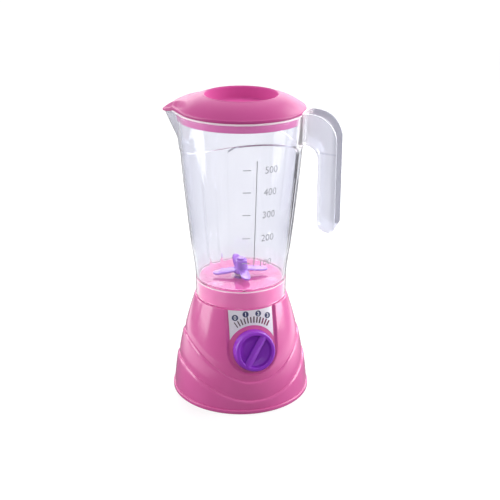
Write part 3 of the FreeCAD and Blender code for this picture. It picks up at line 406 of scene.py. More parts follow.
fresh()
bpy.ops.mesh.primitive_grid_add(x_subdivisions=60, y_subdivisions=24, size=2)
label = bpy.context.object
label.name = label.data.name = "dial_label_foil"
for point in label.data.vertices:
    x = label_half * point.co.x
    y = label_low(x) + (label_high(x) - label_low(x)) * (point.co.y + 1) / 2
    point.co = on_floor(x, y, 0.18) * MM
foil = label.modifiers.new("foil", "SOLIDIFY")
foil.thickness, foil.offset = 0.14 * MM, -1.0
only(label)
bpy.ops.object.modifier_apply(modifier="foil")
silver, silver_bsdf, silver_place = shader("silver_foil")
fleck = spread(noise(silver_place, 900), 0, 1)
fed(silver_bsdf.inputs["Base Color"], blended(fleck, (0.70, 0.66, 0.74), (0.77, 0.735, 0.81)))
fed(silver_bsdf.inputs["Metallic"], 0.2)
fed(silver_bsdf.inputs["Roughness"], spread(noise(silver_place, 300), 0.30, 0.42))
grain(silver_bsdf, noise(silver_place, 1500, 1), 0.05)
finished(label, "base", silver, ["dial_label"])


def printed(name, bend, material, body):
    """Thin print of the active flat mesh, in millimetres, bent point by point onto its surface."""
    piece = bpy.context.object
    piece.name = piece.data.name = name
    only(piece)
    bpy.ops.object.mode_set(mode="EDIT")
    bpy.ops.mesh.select_all(action="SELECT")
    bpy.ops.mesh.remove_doubles(threshold=0.0001)
    bpy.ops.mesh.quads_convert_to_tris()
    bpy.ops.mesh.extrude_region_move(TRANSFORM_OT_translate={"value": (0, 0, 0.05)})
    bpy.ops.mesh.select_all(action="SELECT")
    bpy.ops.mesh.normals_make_consistent(inside=False)
    bpy.ops.object.mode_set(mode="OBJECT")
    for point in piece.data.vertices:
        point.co = bend(*point.co) * MM
    bpy.ops.object.shade_flat()
    handed_over(piece, body, material)


def words(text, height, stretch=1.0):
    """Flat mesh of the text in plain letters, centred on the origin, in millimetres."""
    fresh()
    bpy.ops.object.text_add()
    piece = bpy.context.object
    piece.data.body = text
    piece.data.align_x, piece.data.align_y = "CENTER", "CENTER"
    piece.data.resolution_u = 4
    bpy.ops.object.convert(target="MESH")
    piece = bpy.context.object
    low = Vector(map(min, zip(*(p.co for p in piece.data.vertices))))
    high = Vector(map(max, zip(*(p.co for p in piece.data.vertices))))
    middle, scale = (low + high) / 2, height / (high.y - low.y)
    for point in piece.data.vertices:
        point.co = Vector(((point.co.x - middle.x) * scale * stretch, (point.co.y - middle.y) * scale, 0))


def ink(name, colour, shade):
    """Printing ink, a little uneven in colour and gloss."""
    material, bsdf, place = shader(name)
    fed(bsdf.inputs["Base Color"], blended(spread(noise(place, 1200), 0, 1), colour, shade))
    fed(bsdf.inputs["Roughness"], spread(noise(place, 700), 0.35, 0.5))
    grain(bsdf, noise(place, 3000, 1), 0.05)
    return material


def on_label(x, y, lift, turn=0.0):
    """Bend onto the label about a point of it, first turned by an angle."""

    def bend(right, up, out):
        return on_floor(x + right * math.cos(turn) + up * math.sin(turn),
                        y + up * math.cos(turn) - right * math.sin(turn), lift + out)

    return bend


disc_ink = ink("disc_ink", (0.030, 0.032, 0.095), (0.045, 0.048, 0.13))
number_ink = ink("number_ink", (0.90, 0.90, 0.94), (0.84, 0.84, 0.90))
tick_ink = ink("tick_ink", (0.055, 0.020, 0.035), (0.080, 0.032, 0.050))
warm_ink = ink("warm_tick_ink", (0.16, 0.020, 0.07), (0.20, 0.030, 0.09))
number_ring, disc_r, tick_low, tick_high = 29.8, 2.45, 22.0, 27.0
for number, azimuth in enumerate((-26.0, -9.0, 11.0, 27.0)):
    x, y = number_ring * math.sin(math.radians(azimuth)), number_ring * math.cos(math.radians(azimuth))
    y -= 0.35 if number in (1, 2) else 0.0
    fresh()
    bpy.ops.mesh.primitive_circle_add(vertices=40, radius=disc_r, fill_type="TRIFAN")
    printed(f"dial_disc_{number}", on_label(x, y, 0.20), disc_ink, "base")
    words(str(number), 2.9)
    printed(f"dial_number_{number}", on_label(x, y, 0.26), number_ink, "base")
for tick in range(12):
    half, tall = 0.38 + 0.028 * tick, tick_high - tick_low - 0.3 * (tick % 2)
    fresh()
    bpy.ops.mesh.primitive_plane_add(size=1)
    for point in bpy.context.object.data.vertices:
        point.co = Vector((point.co.x * 2 * half, tick_low + (point.co.y + 0.5) * tall, 0))
    printed(f"dial_tick_{tick + 1}", on_label(0, 0, 0.20, math.radians(-31 + tick * 64.5 / 11)),
            warm_ink if tick > 8 else tick_ink, "base")

# ---- Jug ----
# One moulding of clear styrene: a tapering vessel with an arched band under its rim, a pouring spout, a
# skirt that drops over the boss, and a handle whose outer side is open like a gutter.
spout_turn, handle_azimuth = math.radians(-120), 60
spout_x, spout_y = math.sin(spout_turn), -math.cos(spout_turn)
rim_z, rim_r, spout_root_z, spout_drop, jug_wall = 237.0, 50.2, 206, 4.5, 1.7
skirt_r, skirt_bore_r, skirt_z, jug_floor_z = 37.0, 35.3, 83.5, 101.2


def wall_r(z):
    """Outer radius of the jug's wall under its band: an upright skirt, a flare, and a long taper."""
    flare_z, taper_z = 101, 126
    if z < flare_z:
        return skirt_r
    if z < taper_z:
        return through(z, (skirt_r, flare_z), (38.25, 113.5), (40.2, taper_z))
    return through(z, (40.2, taper_z), (46.2, 184), (rim_r, rim_z))


def arch_z(azimuth):
    """Height of the arched edge of the band under the rim, lowest at the sides."""
    return 221.6 - 14.5 * math.sin(azimuth) ** 2


def pointed(azimuth, r, tip, blunt=0.04):
    """Radius r drawn out to a blunt tip over the spout, with sides that leave the circle at a tangent."""
    if tip <= r:
        return r
    turn = math.remainder(azimuth - spout_turn, math.tau)
    return r / math.cos(max(0.0, math.acos(r / tip) + blunt - math.sqrt(turn * turn + blunt * blunt)))


def beak_r(azimuth, r, share, thin=0.0):
    """Radius r with the spout, whose share grows from 0 at its root to 1 at the rim, less its own wall."""
    return pointed(azimuth, r, 47.8 + 15.7 * share ** 0.75 - 1.4 * thin) if share > 0 else r


def rim_drop(azimuth, r):
    """How far the rim has sloped down at a point of the spout."""
    along = r * math.cos(azimuth - spout_turn)
    return spout_drop * min(1.0, max(0.0, (along - rim_r) / 13.3))


def flats(azimuth, z):
    """Depth of the flat panel on the front wall, and of the flutes and the rib beside it."""
    turn = math.degrees(azimuth)
    left_hook, right_hook = (min(1.0, max(0.0, share)) for share in ((-15 - turn) / 10, (turn - 40) / 12))
    top = arch_z(azimuth) - 0.8 - (2.7 * left_hook ** 2 + 2.5 * right_hook ** 2)
    front = eased((turn + 26.5) / 2.4) * eased((54.5 - turn) / 5) * eased(top - z)
    front *= 0.75 * eased((z - 118) / 60)
    flute = sum(eased(1 - abs(turn - at) / wide) for at, wide in ((-51, 3.2), (-36, 3.2)))
    flute *= 0.8 * eased((z - 112) / 25) * eased((198 - z) / 14)
    rib = 0.45 * eased(1 - abs(turn - 59) / 3.0) * eased((186 - z) / 2.5) * eased((z - 104) / 12)
    return front + flute - rib


def jug_profile(azimuth):
    """The vessel's closed outline at an azimuth, as (r, z) points."""
    line = arch_z(azimuth)
    top = rim_z - rim_drop(azimuth, beak_r(azimuth, rim_r, 1.0))

    def outer(z, out):
        share = (z - spout_root_z) / (top - spout_root_z)
        return beak_r(azimuth, wall_r(z) - flats(azimuth, z) + out, share), z

    def inner(z):
        share = (z - spout_root_z) / (top - spout_root_z)
        return beak_r(azimuth, wall_r(z) - jug_wall, share, jug_wall), z

    # Round the skirt's foot, up the wall to the band's ledge, and up the band to the rim.
    points = rounded([(skirt_bore_r, 85, 0), (skirt_bore_r, skirt_z, 0.4), (skirt_r, skirt_z, 0.5),
                      (skirt_r, 85, 0)], 4)
    points += [outer(z, 0) for z in between(86, 101, 8)] + [outer(z, 0) for z in between(102, 184, 36)]
    points += [outer(z, 0) for z in between(185.2, line - 3.2, 16)]
    points += [outer(line + lift, 0.75 * eased((lift + 0.8) / 0.8)) for lift in
               (-2.8, -2.4, -2.0, -1.6, -1.2, -0.8, -0.6, -0.4, -0.2, 0.0, 0.4)]
    points += [outer(z, 0.75) for z in between(line + 1.2, top - 2.8, 14)]
    # Over the rim's bead and down inside to the floor.
    points += [outer(top - down, out) for down, out in
               ((2.6, 0.76), (2.45, 0.86), (2.2, 0.9), (0.7, 0.9), (0.3, 0.76), (0.08, 0.45))]
    points.append((outer(top, 0)[0] - 0.05, top))
    points += [(inner(top)[0] + 0.4, top), (inner(top)[0] + 0.12, top - 0.12), inner(top - 0.4)]
    points += [inner(z) for z in between(top - 1.2, spout_root_z, 18)]
    points += [inner(z) for z in between(spout_root_z - 2, jug_floor_z + 0.4, 34)]
    # Across the floor, over the shaft's collar, and back under the floor into the skirt.
    floor_r, collar_r, shaft_r = wall_r(101) - jug_wall, 4.0, 2.3
    points += rounded([(floor_r, jug_floor_z, 0), (floor_r, 99, 1.4), (collar_r, 99, 0.4),
                       (collar_r, jug_floor_z, 0.3), (shaft_r, jug_floor_z, 0.2), (shaft_r, boss_z, 0.2),
                       (skirt_bore_r, boss_z, 0.5), (skirt_bore_r, 95, 0)], 5)
    return points + [(skirt_bore_r, z) for z in between(94, 85, 5)]


def slab(name, outline, half, azimuth):
    """A plate cut to an outline of (out, up) points, half as thick to each side, standing at an azimuth."""
    fresh()
    bpy.ops.mesh.primitive_circle_add(vertices=len(outline), radius=1, fill_type="NGON")
    piece = bpy.context.object
    piece.name = piece.data.name = name
    for point, (out, up) in zip(piece.data.vertices, outline):
        point.co = Vector((half, -out, up)) * MM
    bpy.ops.object.mode_set(mode="EDIT")
    bpy.ops.mesh.select_all(action="SELECT")
    bpy.ops.mesh.extrude_region_move(TRANSFORM_OT_translate={"value": (-2 * half * MM, 0, 0)})
    bpy.ops.mesh.select_all(action="SELECT")
    bpy.ops.mesh.normals_make_consistent(inside=False)
    bpy.ops.transform.rotate(value=-math.radians(azimuth), orient_axis="Z", center_override=(0, 0, 0))
    bpy.ops.object.mode_set(mode="OBJECT")
    return piece


def joined(piece, other, operation):
    """Boolean of two solids, which leaves only the first one."""
    cut = piece.modifiers.new("cut", "BOOLEAN")
    cut.operation, cut.object, cut.solver = operation, other, "EXACT"
    only(piece)
    bpy.ops.object.modifier_apply(modifier="cut")
    only(other)
    bpy.ops.object.delete()


def edged(piece, width, angle=40):
    """Round the sharp edges of a solid."""
    edge = piece.modifiers.new("edge", "BEVEL")
    edge.width, edge.segments, edge.angle_limit = width, 3, math.radians(angle)
    only(piece)
    bpy.ops.object.modifier_apply(modifier="edge")


jug_turns = [(turn + math.pi) % math.tau - math.pi for turn in turns_round(480, 0.7, spout_turn)]
jug = turned("clear_jug", jug_turns, jug_profile)
grip_outline = rounded([(47.2, 215, 0), (63.8, 215, 10.5), (64.4, 148.2, 8), (78.8, 145.4, 5),
                        (78.2, 239, 21), (50.95, 239, 0), (50.95, 236.6, 0), (49.0, 236.6, 0)], 14)
gutter_outline = rounded([(51.3, 217, 0), (65.9, 217, 12.4), (66.5, 150, 6), (86, 147, 0), (86, 246, 0),
                          (51.3, 246, 0)], 14)
grip = slab("grip", grip_outline, 11, handle_azimuth)
gutter = slab("gutter", gutter_outline, 8.8, handle_azimuth)
joined(grip, gutter, "DIFFERENCE")
edged(grip, 0.9 * MM)
joined(jug, grip, "UNION")

clear, clear_bsdf, clear_place = shader("clear_styrene")
fed(clear_bsdf.inputs["IOR"], 1.45)
fed(clear_bsdf.inputs["Specular IOR Level"], 0.35)
edge_on = clear.node_tree.nodes.new("ShaderNodeLayerWeight")
fed(edge_on.inputs["Blend"], 0.30)


def off_axis(place):
    """Distance of a surface point from the upright axis."""
    return placed("LENGTH", placed("MULTIPLY", place, (1, 1, 0)))


# The thin skirt is the clearest part, tinted pink and pinker where it is seen edge-on: painted light of the
# pink boss behind it. The rest of the wall is painted greyer where it is seen edge-on, as shade. The handle's
# walls are milkier;
# its gutter, and where that turns down, is painted darker as shade, and the rim's bead, the floor's outer
# corner and the handle's root are paler and less clear as painted highlights. All distances here are in
# metres.
height = reach_along(clear_place, 0, 0, 1)
outwards = reach_along(clear_place, -spout_x, -spout_y)
beside = reach_along(clear_place, spout_y, -spout_x)
spoutwards = reach_along(clear_place, spout_x, spout_y)
round_r = off_axis(clear_place)
sideways = worked("DIVIDE", reach_along(clear_place, 1, 0), round_r)

handle_part = stepped(outwards, 0.0505, 0.056)
# Painted shade: the handle's gutter, and where it turns down, is tinted dark grey.
past, above = worked("SUBTRACT", outwards, 0.057), worked("SUBTRACT", height, 0.218)
turned_down = worked("ADD", worked("MULTIPLY", past, past), worked("MULTIPLY", above, above))
turned_down = worked("MULTIPLY", stepped(turned_down, 0.00022, 0.00028), stepped(height, 0.214, 0.220))
painted_gutter_shade = worked("MAXIMUM", stepped(outwards, 0.070, 0.072), turned_down)
painted_gutter_shade = worked("MULTIPLY", painted_gutter_shade, stepped(beside, 0.0065, 0.0080))
painted_gutter_shade = worked("MULTIPLY", painted_gutter_shade, stepped(outwards, 0.0515, 0.0525))

# Painted highlight: the rim's bead, which slopes down along the spout, is paler and less clear.
slope = worked("MULTIPLY", stepped(spoutwards, 0.0502, 0.0635), 0.0045)
painted_rim_highlight = worked("SUBTRACT", stepped(worked("ADD", height, slope), 0.2355, 0.2358), handle_part)
# Painted highlight: the wall at the handle's root is paler and less clear.
painted_root_highlight = worked("MULTIPLY", stepped(outwards, 0.0450, 0.0475), stepped(outwards, 0.056, 0.0505))
painted_root_highlight = worked("MULTIPLY", painted_root_highlight, stepped(worked("ABSOLUTE", beside), 0.016, 0.010))
painted_root_highlight = worked("MULTIPLY", painted_root_highlight, stepped(height, 0.206, 0.212))
# Painted highlight: a pale, less clear ring at the floor's outer corner, over the boss's top edge.
painted_corner_highlight = worked("MULTIPLY", stepped(height, 0.0972, 0.0975), stepped(height, 0.0989, 0.0986))
painted_corner_highlight = worked("MULTIPLY", painted_corner_highlight, stepped(round_r, 0.0360, 0.0364))

# The ledge over the front panel is painted as a thin dark line of shade, with a hook down at each of its ends.
hook, far_hook = stepped(sideways, -0.2588, -0.4226), stepped(sideways, 0.643, 0.788)
ledge = worked("ADD", height, worked("MULTIPLY", worked("MULTIPLY", sideways, sideways), 0.0145))
ledge = worked("ADD", ledge, worked("MULTIPLY", worked("MULTIPLY", hook, hook), 0.0027))
ledge = worked("ADD", ledge, worked("MULTIPLY", worked("MULTIPLY", far_hook, far_hook), 0.0025))
painted_ledge_shade = worked("MULTIPLY", stepped(ledge, 0.2197, 0.2202), stepped(ledge, 0.2216, 0.2212))
painted_ledge_shade = worked("MULTIPLY", painted_ledge_shade, stepped(round_r, 0.0478, 0.0480))
for limit in (stepped(sideways, -0.425, -0.40), stepped(sideways, 0.80, 0.70),
              stepped(reach_along(clear_place, 0, -1), 0.0, 0.010)):
    painted_ledge_shade = worked("MULTIPLY", painted_ledge_shade, limit)

skirt_part = stepped(height, 0.101, 0.099)
tint = blended(spread(noise(clear_place, 30, 1), 0, 1), (0.895, 0.90, 0.94), (0.875, 0.88, 0.925))
# Painted shade: grey-lavender where the wall is seen edge-on, and pink there on the skirt for the boss behind
# it.
painted_edge_shade = blended(skirt_part, (0.50, 0.51, 0.62), (0.88, 0.42, 0.66))
for part, part_tint in ((skirt_part, (0.98, 0.86, 0.93)), (handle_part, (0.91, 0.92, 0.99)),
                        (painted_gutter_shade, (0.45, 0.455, 0.53)), (edge_on.outputs["Facing"], painted_edge_shade),
                        (painted_root_highlight, (0.93, 0.93, 0.95)), (painted_rim_highlight, (0.98, 0.90, 0.95)),
                        (painted_ledge_shade, (0.16, 0.16, 0.20)), (painted_corner_highlight, (0.96, 0.84, 0.91))):
    tint = blended(part, tint, part_tint)
fed(clear_bsdf.inputs["Base Color"], tint)
# Painted highlights at the rim, root and corner, and the handle's real milkiness, both lower the transmission.
painted_highlight_and_milk = worked("MULTIPLY", worked("MAXIMUM", painted_rim_highlight, worked("MAXIMUM", painted_root_highlight, painted_corner_highlight)), 0.55)
painted_highlight_and_milk = worked("MAXIMUM", painted_highlight_and_milk, worked("MULTIPLY", handle_part, 0.35))
fed(clear_bsdf.inputs["Transmission Weight"], worked("SUBTRACT", 0.98, painted_highlight_and_milk))
fed(clear_bsdf.inputs["Roughness"], spread(noise(clear_place, 60), 0.03, 0.07))
grain(clear_bsdf, noise(clear_place, 90, 1), 0.06, 0.0004)
rays = clear.node_tree.nodes.new("ShaderNodeLightPath").outputs
lit_through = worked("MAXIMUM", rays["Is Shadow Ray"], rays["Is Diffuse Ray"])
fed(clear_bsdf.inputs["Alpha"], worked("SUBTRACT", 1.0, lit_through))
finished(jug, "jug", clear, ["jug", "jug_handle"])
# The handle's flat sides stay evenly shaded right up to their rounded edges.
level_faces = jug.modifiers.new("level_faces", "WEIGHTED_NORMAL")
level_faces.keep_sharp = True
only(jug)
bpy.ops.object.modifier_apply(modifier="level_faces")

# ---- Jug scale ----
# Filling scale, printed on the jug's front in thin grey ink: an upright line, with five short ticks on its
# left and their numbers on its right.
scale_ink = ink("scale_ink", (0.36, 0.36, 0.40), (0.44, 0.44, 0.48))


def on_wall(z, azimuth):
    """Bend onto the jug's outer wall about a point of it: along the wall, up it and out of it."""

    def bend(along, up, out):
        turn = math.radians(azimuth) + along / wall_r(z + up)
        r = wall_r(z + up) - flats(turn, z + up) + 0.02 + out
        return Vector((r * math.sin(turn), -r * math.cos(turn), z + up))

    return bend


def stroke(name, wide, tall, cells, bend):
    """A printed stroke, cut into cells along and up it so that it follows the wall."""
    fresh()
    bpy.ops.mesh.primitive_grid_add(x_subdivisions=cells[0], y_subdivisions=cells[1], size=1)
    for point in bpy.context.object.data.vertices:
        point.co = Vector((point.co.x * wide, point.co.y * tall, 0))
    printed(name, bend, scale_ink, "jug")


stroke("scale_line", 0.7, 86.5, (1, 60), on_wall(164.8, 1.7))
for amount, z in ((500, 201), (400, 183.2), (300, 164.7), (200, 145.3), (100, 124.0)):
    stroke(f"scale_tick_{amount}", 6.2, 0.6, (8, 1), on_wall(z, -7.5))
    words(str(amount), 5.6, 0.95)
    printed(f"scale_number_{amount}", on_wall(z - 0.6, 16.2), scale_ink, "jug")

# ---- Lid ----
# Lid of pink plastic with a turned rim, a round bowl sunk in its top and a tongue that covers the spout.
# A thin plug under it holds it in the jug.
lid_top_z, bowl_z, plug_z, lid_r, tongue_tip_r = 249.0, 240.5, 229.5, 50.4, 65.0
hood_start, hood_z, hood_half, hood_flat = 42, 244, 24.0, 0.72


def hooded(azimuth, r, z):
    """Height z of the lid's top, raised by the steep-sided hood that runs out along the tongue."""
    turn = azimuth - spout_turn
    along, aside = r * math.cos(turn), r * math.sin(turn)
    past = along - hood_start
    crest = hood_z - 0.12 * past - 0.0155 * past * past
    half = hood_half - past
    if past < -8 or abs(aside) > half or crest < z:
        return z
    flank = max(0.0, abs(aside / half) - hood_flat) / (1 - hood_flat)
    return z + (crest - z) * (1 - flank) * eased((past + 8) / 8)


def lid_profile(azimuth):
    """The lid's closed outline at an azimuth, as (r, z) points."""
    edge_r = pointed(azimuth, lid_r, tongue_tip_r)
    edge_along = edge_r * math.cos(azimuth - spout_turn)
    hang = 1.1 * eased((edge_r - 52.4) / 2.5) * (1 - 0.5 * eased((edge_along - 58) / 7))

    def band(r, lift):
        return r, rim_z - rim_drop(azimuth, r) + lift

    def top(r, lift=2.4):
        along = r * math.cos(azimuth - spout_turn)
        thin = 0.9 * eased((along - lid_r) / 3) + 0.9 * eased((along - 57) / 8)
        return r, hooded(azimuth, r, band(r, lift - thin)[1])

    # Out over the bowl's floor and lip, and down the dome to the turned rim.
    points = [(0, bowl_z), (8, bowl_z)] + rounded([(15, bowl_z, 0), (23.0, bowl_z, 3.0), (27.7, 248.1, 0.7),
                                                   (29.3, lid_top_z, 0.4), (29.8, lid_top_z, 0)], 8)
    for r in between(30.0, 49.4, 30):
        points.append((r, hooded(azimuth, r, through(r, (lid_top_z, 28.8), (245.4, 39.8), (239.4, 49.6)))))
    # Over the rim and the tongue, and round their edge, which hangs down a little along the tongue.
    points += [top(49.7 + (edge_r - 0.7 - 49.7) * share) for share in between(0.0, 1.0, 14)]
    points += [top(edge_r - 0.25, 2.3), top(edge_r - 0.05, 2.05), top(edge_r, 1.75)]
    points += [band(edge_r, 0.3 - hang), band(edge_r - 0.12, 0.08 - hang), band(edge_r - 0.4, -hang)]
    points += [band(edge_r - 0.9, -hang), band(edge_r - 0.95, -0.9 * hang), band(edge_r - 1.0, 0)]
    # Back under the rim, round the plug, and under the dome and the bowl.
    points += [band(r, 0) for r in between(edge_r - 1.3, 48.4, 8)]
    points += rounded([(48.0, rim_z, 0), (47.85, plug_z, 0.6), (46.1, plug_z, 0.6), (46.2, 237.6, 0)], 4)
    return points + [(46.2, 237.6), (38.5, 243.4), (29.0, 246.6), (28.2, 246.4), (26.0, 238.6), (0, 238.6)]


lid = turned("pink_lid", turns_round(400, 0.7, spout_turn), lid_profile)
lid_pink, lid_bsdf, lid_place = moulded(
    "lid_moulding", (0.46, 0.058, 0.235), (0.44, 0.053, 0.22), 0.36, coat=0.0)

# The thin plug is painted paler than the lid, as painted light where lamps reach it little. The bowl is matt,
# and painted a fuller pink than the rest of the same plastic, as painted light for how light falls into it.
plug_painted_light = worked("MULTIPLY", stepped(reach_along(lid_place, 0, 0, 1), 0.2369, 0.2364),
                   stepped(reach_along(lid_place, spout_x, spout_y), 0.0492, 0.0484))
bowl_part = stepped(off_axis(lid_place), 0.0289, 0.0283)
lid_colour = blended(bowl_part, drawn_from(lid_bsdf, "Base Color"), (0.50, 0.046, 0.24))
fed(lid_bsdf.inputs["Base Color"], blended(plug_painted_light, lid_colour, (0.80, 0.135, 0.46)))
fed(lid_bsdf.inputs["Roughness"], blended(bowl_part, drawn_from(lid_bsdf, "Roughness"), 0.85))
finished(lid, "lid", lid_pink, ["lid"])

# ---- Knob ----
# Speed knob of violet plastic, a dished ring with a tapering grip bar across it, pushed onto the shaft of
# the switch behind the panel.
knob_columns, pointer = 160, math.radians(32)


def knob_place(column, row):
    r, out = knob_outline[row]
    turn = math.tau * column / knob_columns
    return on_panel(r * math.sin(turn), r * math.cos(turn), out)


knob_outline = [(0, 3.4), (3.05, 3.4), (3.05, 0.5)] + rounded(
    [(8, 0.5, 0), (16.8, 0.5, 0.3), (16.8, 1.9, 0.4), (15.75, 9.5, 1.5), (12.9, 9.5, 0.9), (12.0, 6.2, 2.2),
     (8.5, 4.1, 5.0), (0, 3.9, 0)], 7)
knob = ringed("speed_knob", knob_columns, len(knob_outline), knob_place)
grip_bar = slab("grip_bar", [(-2.9, 2.5), (2.9, 2.5), (2.8, 8.8), (0.0, 10.0), (-2.8, 8.4)], 13.4, 0)
# The bar is a little narrower at its upper end, and its ridge leans over from one side to the other.
for point in grip_bar.data.vertices:
    y, x, out = point.co.x / MM, -point.co.y / MM, point.co.z / MM
    x = x * (0.94 if y > 0 else 1.06) + (0.0 if out < 9.5 else 0.9 if y > 0 else -1.6)
    point.co = on_panel(x * math.cos(pointer) + y * math.sin(pointer),
                        y * math.cos(pointer) - x * math.sin(pointer), out) * MM
closed(grip_bar)
edged(grip_bar, 0.4 * MM, 15)
joined(knob, grip_bar, "UNION")
violet = moulded("violet_moulding", (0.255, 0.032, 0.50), (0.23, 0.026, 0.46), 0.22, coat=0.0)[0]
finished(knob, "knob", violet, ["knob"])

# ---- Blade ----
# Four-winged blade of clear violet plastic, moulded in one piece with its hub and pressed onto the shaft.
# One wing is bent upwards, the others lie low over the jug's floor.
hub_outline = [(1.5, 112.0), (1.5, 101.55)] + rounded(
    [(3.0, 101.5, 0), (6.6, 101.5, 0.4), (6.2, 103.4, 2.5), (5.3, 106.5, 4.0), (5.0, 111.9, 0.5),
     (3.7, 111.9, 0.4), (3.5, 113.5, 0.9), (1.6, 113.6, 0)], 6) + [(0, 113.65), (0, 112.0)]


def wing(length, low, bend, azimuth, twist):
    """One wing: a leaf of even thickness from inside the hub to its round tip, bent up or down."""
    columns, rows = 24, 27
    root_r, half_chord, half_thick = 2.6, 4.2, 0.72

    def place(column, row):
        share = row / (rows - 1)
        u = root_r + (length - root_r) * math.sin(share * math.pi / 2)
        past = max(0.0, (u - 0.45 * length) / (0.55 * length))
        chord = half_chord * math.sqrt(max(0.0, 1 - past ** 3.2)) * (0.8 + 0.2 * eased((u - 2) / 6))
        thick = half_thick * min(1.0, chord / 0.7)
        turn = math.tau * column / columns
        aside = math.copysign(abs(math.cos(turn)) ** 0.7, math.cos(turn)) * chord + 0.9 * past
        above = math.copysign(abs(math.sin(turn)) ** 0.7, math.sin(turn)) * thick
        lean = math.radians(twist) * eased(u / 12)
        z = low + bend * eased((u - 4) / (length - 4)) + above * math.cos(lean) + aside * math.sin(lean)
        aside = aside * math.cos(lean) - above * math.sin(lean)
        way = math.radians(azimuth)
        return u * math.sin(way) - aside * math.cos(way), -u * math.cos(way) - aside * math.sin(way), z

    piece = ringed("wing", columns, rows, place)
    bpy.ops.object.mode_set(mode="EDIT")
    bpy.context.tool_settings.mesh_select_mode = (False, True, False)
    bpy.ops.mesh.select_all(action="DESELECT")
    bpy.ops.mesh.select_non_manifold()
    bpy.ops.mesh.fill()
    bpy.ops.object.mode_set(mode="OBJECT")
    closed(piece)
    return piece


blade = turned("blade_moulding", turns_round(72), lambda azimuth: hub_outline)
for length, low, bend, azimuth, twist in ((23.0, 104.0, -2.3, -90, 9), (22.4, 104.0, -1.2, 90, -8),
                                          (20.5, 104.3, -2.2, 4, 10), (16.5, 105.0, 5.2, 186, -10)):
    joined(blade, wing(length, low, bend, azimuth, twist), "UNION")
glow_violet, glow_bsdf, _ = moulded("blade_moulding", (0.50, 0.20, 0.82), (0.44, 0.16, 0.76), 0.20, 0.0)
fed(glow_bsdf.inputs["Transmission Weight"], 0.35)
finished(blade, "blade", glow_violet, ["blade_impeller"])

# ---- Inner works ----
# Everything under the base and inside it keeps its own machined or moulded shape and gets the finish of
# what it is made of: screws and shafts of steel, bushes and gears of nylon, and wires in their insulation.


def metal(name, colour, shade, gloss, brush=900):
    """Bare metal with faint machining marks."""
    material, bsdf, place = shader(name)
    fed(bsdf.inputs["Base Color"], blended(spread(noise(place, 140), 0, 1), colour, shade))
    fed(bsdf.inputs["Metallic"], 1.0)
    fed(bsdf.inputs["Roughness"], spread(noise(place, brush), gloss - 0.05, gloss + 0.08))
    grain(bsdf, noise(place, 2 * brush, 2), 0.12)
    return material


cover_pink = moulded("cover_moulding", (0.62, 0.105, 0.335), (0.57, 0.09, 0.30), 0.42, 0.0, 1800)[0]
nylon = moulded("white_nylon", (0.78, 0.78, 0.76), (0.72, 0.72, 0.70), 0.42)[0]
black = moulded("black_moulding", (0.02, 0.02, 0.022), (0.03, 0.03, 0.032), 0.4)[0]
silicone = moulded("seal_silicone", (0.70, 0.70, 0.72), (0.64, 0.64, 0.67), 0.45)[0]
wire_red = moulded("red_insulation", (0.55, 0.02, 0.015), (0.48, 0.015, 0.012), 0.4)[0]
wire_blue = moulded("blue_insulation", (0.02, 0.08, 0.45), (0.015, 0.06, 0.38), 0.4)[0]
cell_wrap = moulded("cell_sleeve", (0.10, 0.13, 0.16), (0.13, 0.16, 0.19), 0.28)[0]
magnet = moulded("ferrite", (0.05, 0.048, 0.046), (0.035, 0.034, 0.033), 0.7)[0]
zinc = metal("zinc_plating", (0.62, 0.63, 0.62), (0.55, 0.56, 0.56), 0.30)
shaft_steel = metal("ground_steel", (0.58, 0.58, 0.57), (0.52, 0.52, 0.52), 0.20, 1400)
can_steel = metal("drawn_steel", (0.50, 0.50, 0.49), (0.45, 0.45, 0.45), 0.35)
nickel = metal("nickel_plating", (0.60, 0.57, 0.52), (0.54, 0.51, 0.47), 0.28)
brass = metal("brass", (0.68, 0.48, 0.18), (0.60, 0.42, 0.15), 0.30)
copper = metal("wound_copper", (0.62, 0.24, 0.10), (0.50, 0.18, 0.07), 0.38, 2200)

for finish, names in (
        (cover_pink, "bottom_cover battery_door"), (zinc, "cover_screws door_screw bracket_screws"),
        (cell_wrap, "battery_cell_1 battery_cell_2"), (black, "lead_black switch_body"),
        (wire_red, "lead_red"), (wire_blue, "lead_blue"), (nickel, "contact_springs contact_plates"),
        (brass, "switch_contacts motor_pinion"), (can_steel, "motor_can"), (magnet, "motor_magnets"),
        (nylon, "motor_bracket motor_end_cap lower_bush upper_bush spindle_gear drive_coupler"),
        (nylon, "knob_shaft switch_rotor floor_bush"), (silicone, "shaft_seal"),
        (copper, "motor_armature"), (shaft_steel, "motor_shaft drive_spindle blade_shaft"),
        (glow_violet, "driven_coupler")):
    for name in names.split():
        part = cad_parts[name]
        part.data.materials.clear()
        part.data.materials.append(finish)
        only(part)
        bpy.ops.object.shade_smooth_by_angle(angle=math.radians(30))

# ---- Studio ----
# Pale floor and a soft room, grey in front and white behind, with tall soft lamps at both sides, one more
# behind, and two fills from above that leave no reflection. The eye sees plain white round the blender.
room_turn = math.radians(-13.5)
back_x, back_y = -math.sin(room_turn), math.cos(room_turn)
fresh()
bpy.ops.mesh.primitive_plane_add(size=6)
floor = bpy.context.object
floor.name = "floor"
white, white_bsdf, white_place = shader("floor_white")
rays = white.node_tree.nodes.new("ShaderNodeLightPath").outputs
mirror_ray = worked("MULTIPLY", rays["Is Glossy Ray"], rays["Is Reflection Ray"])
matt = blended(spread(noise(white_place, 3), 0, 1), (0.26, 0.26, 0.26), (0.25, 0.25, 0.25))
fed(white_bsdf.inputs["Base Color"], blended(mirror_ray, matt, (0.10, 0.10, 0.10)))
fed(white_bsdf.inputs["Roughness"], 0.7)
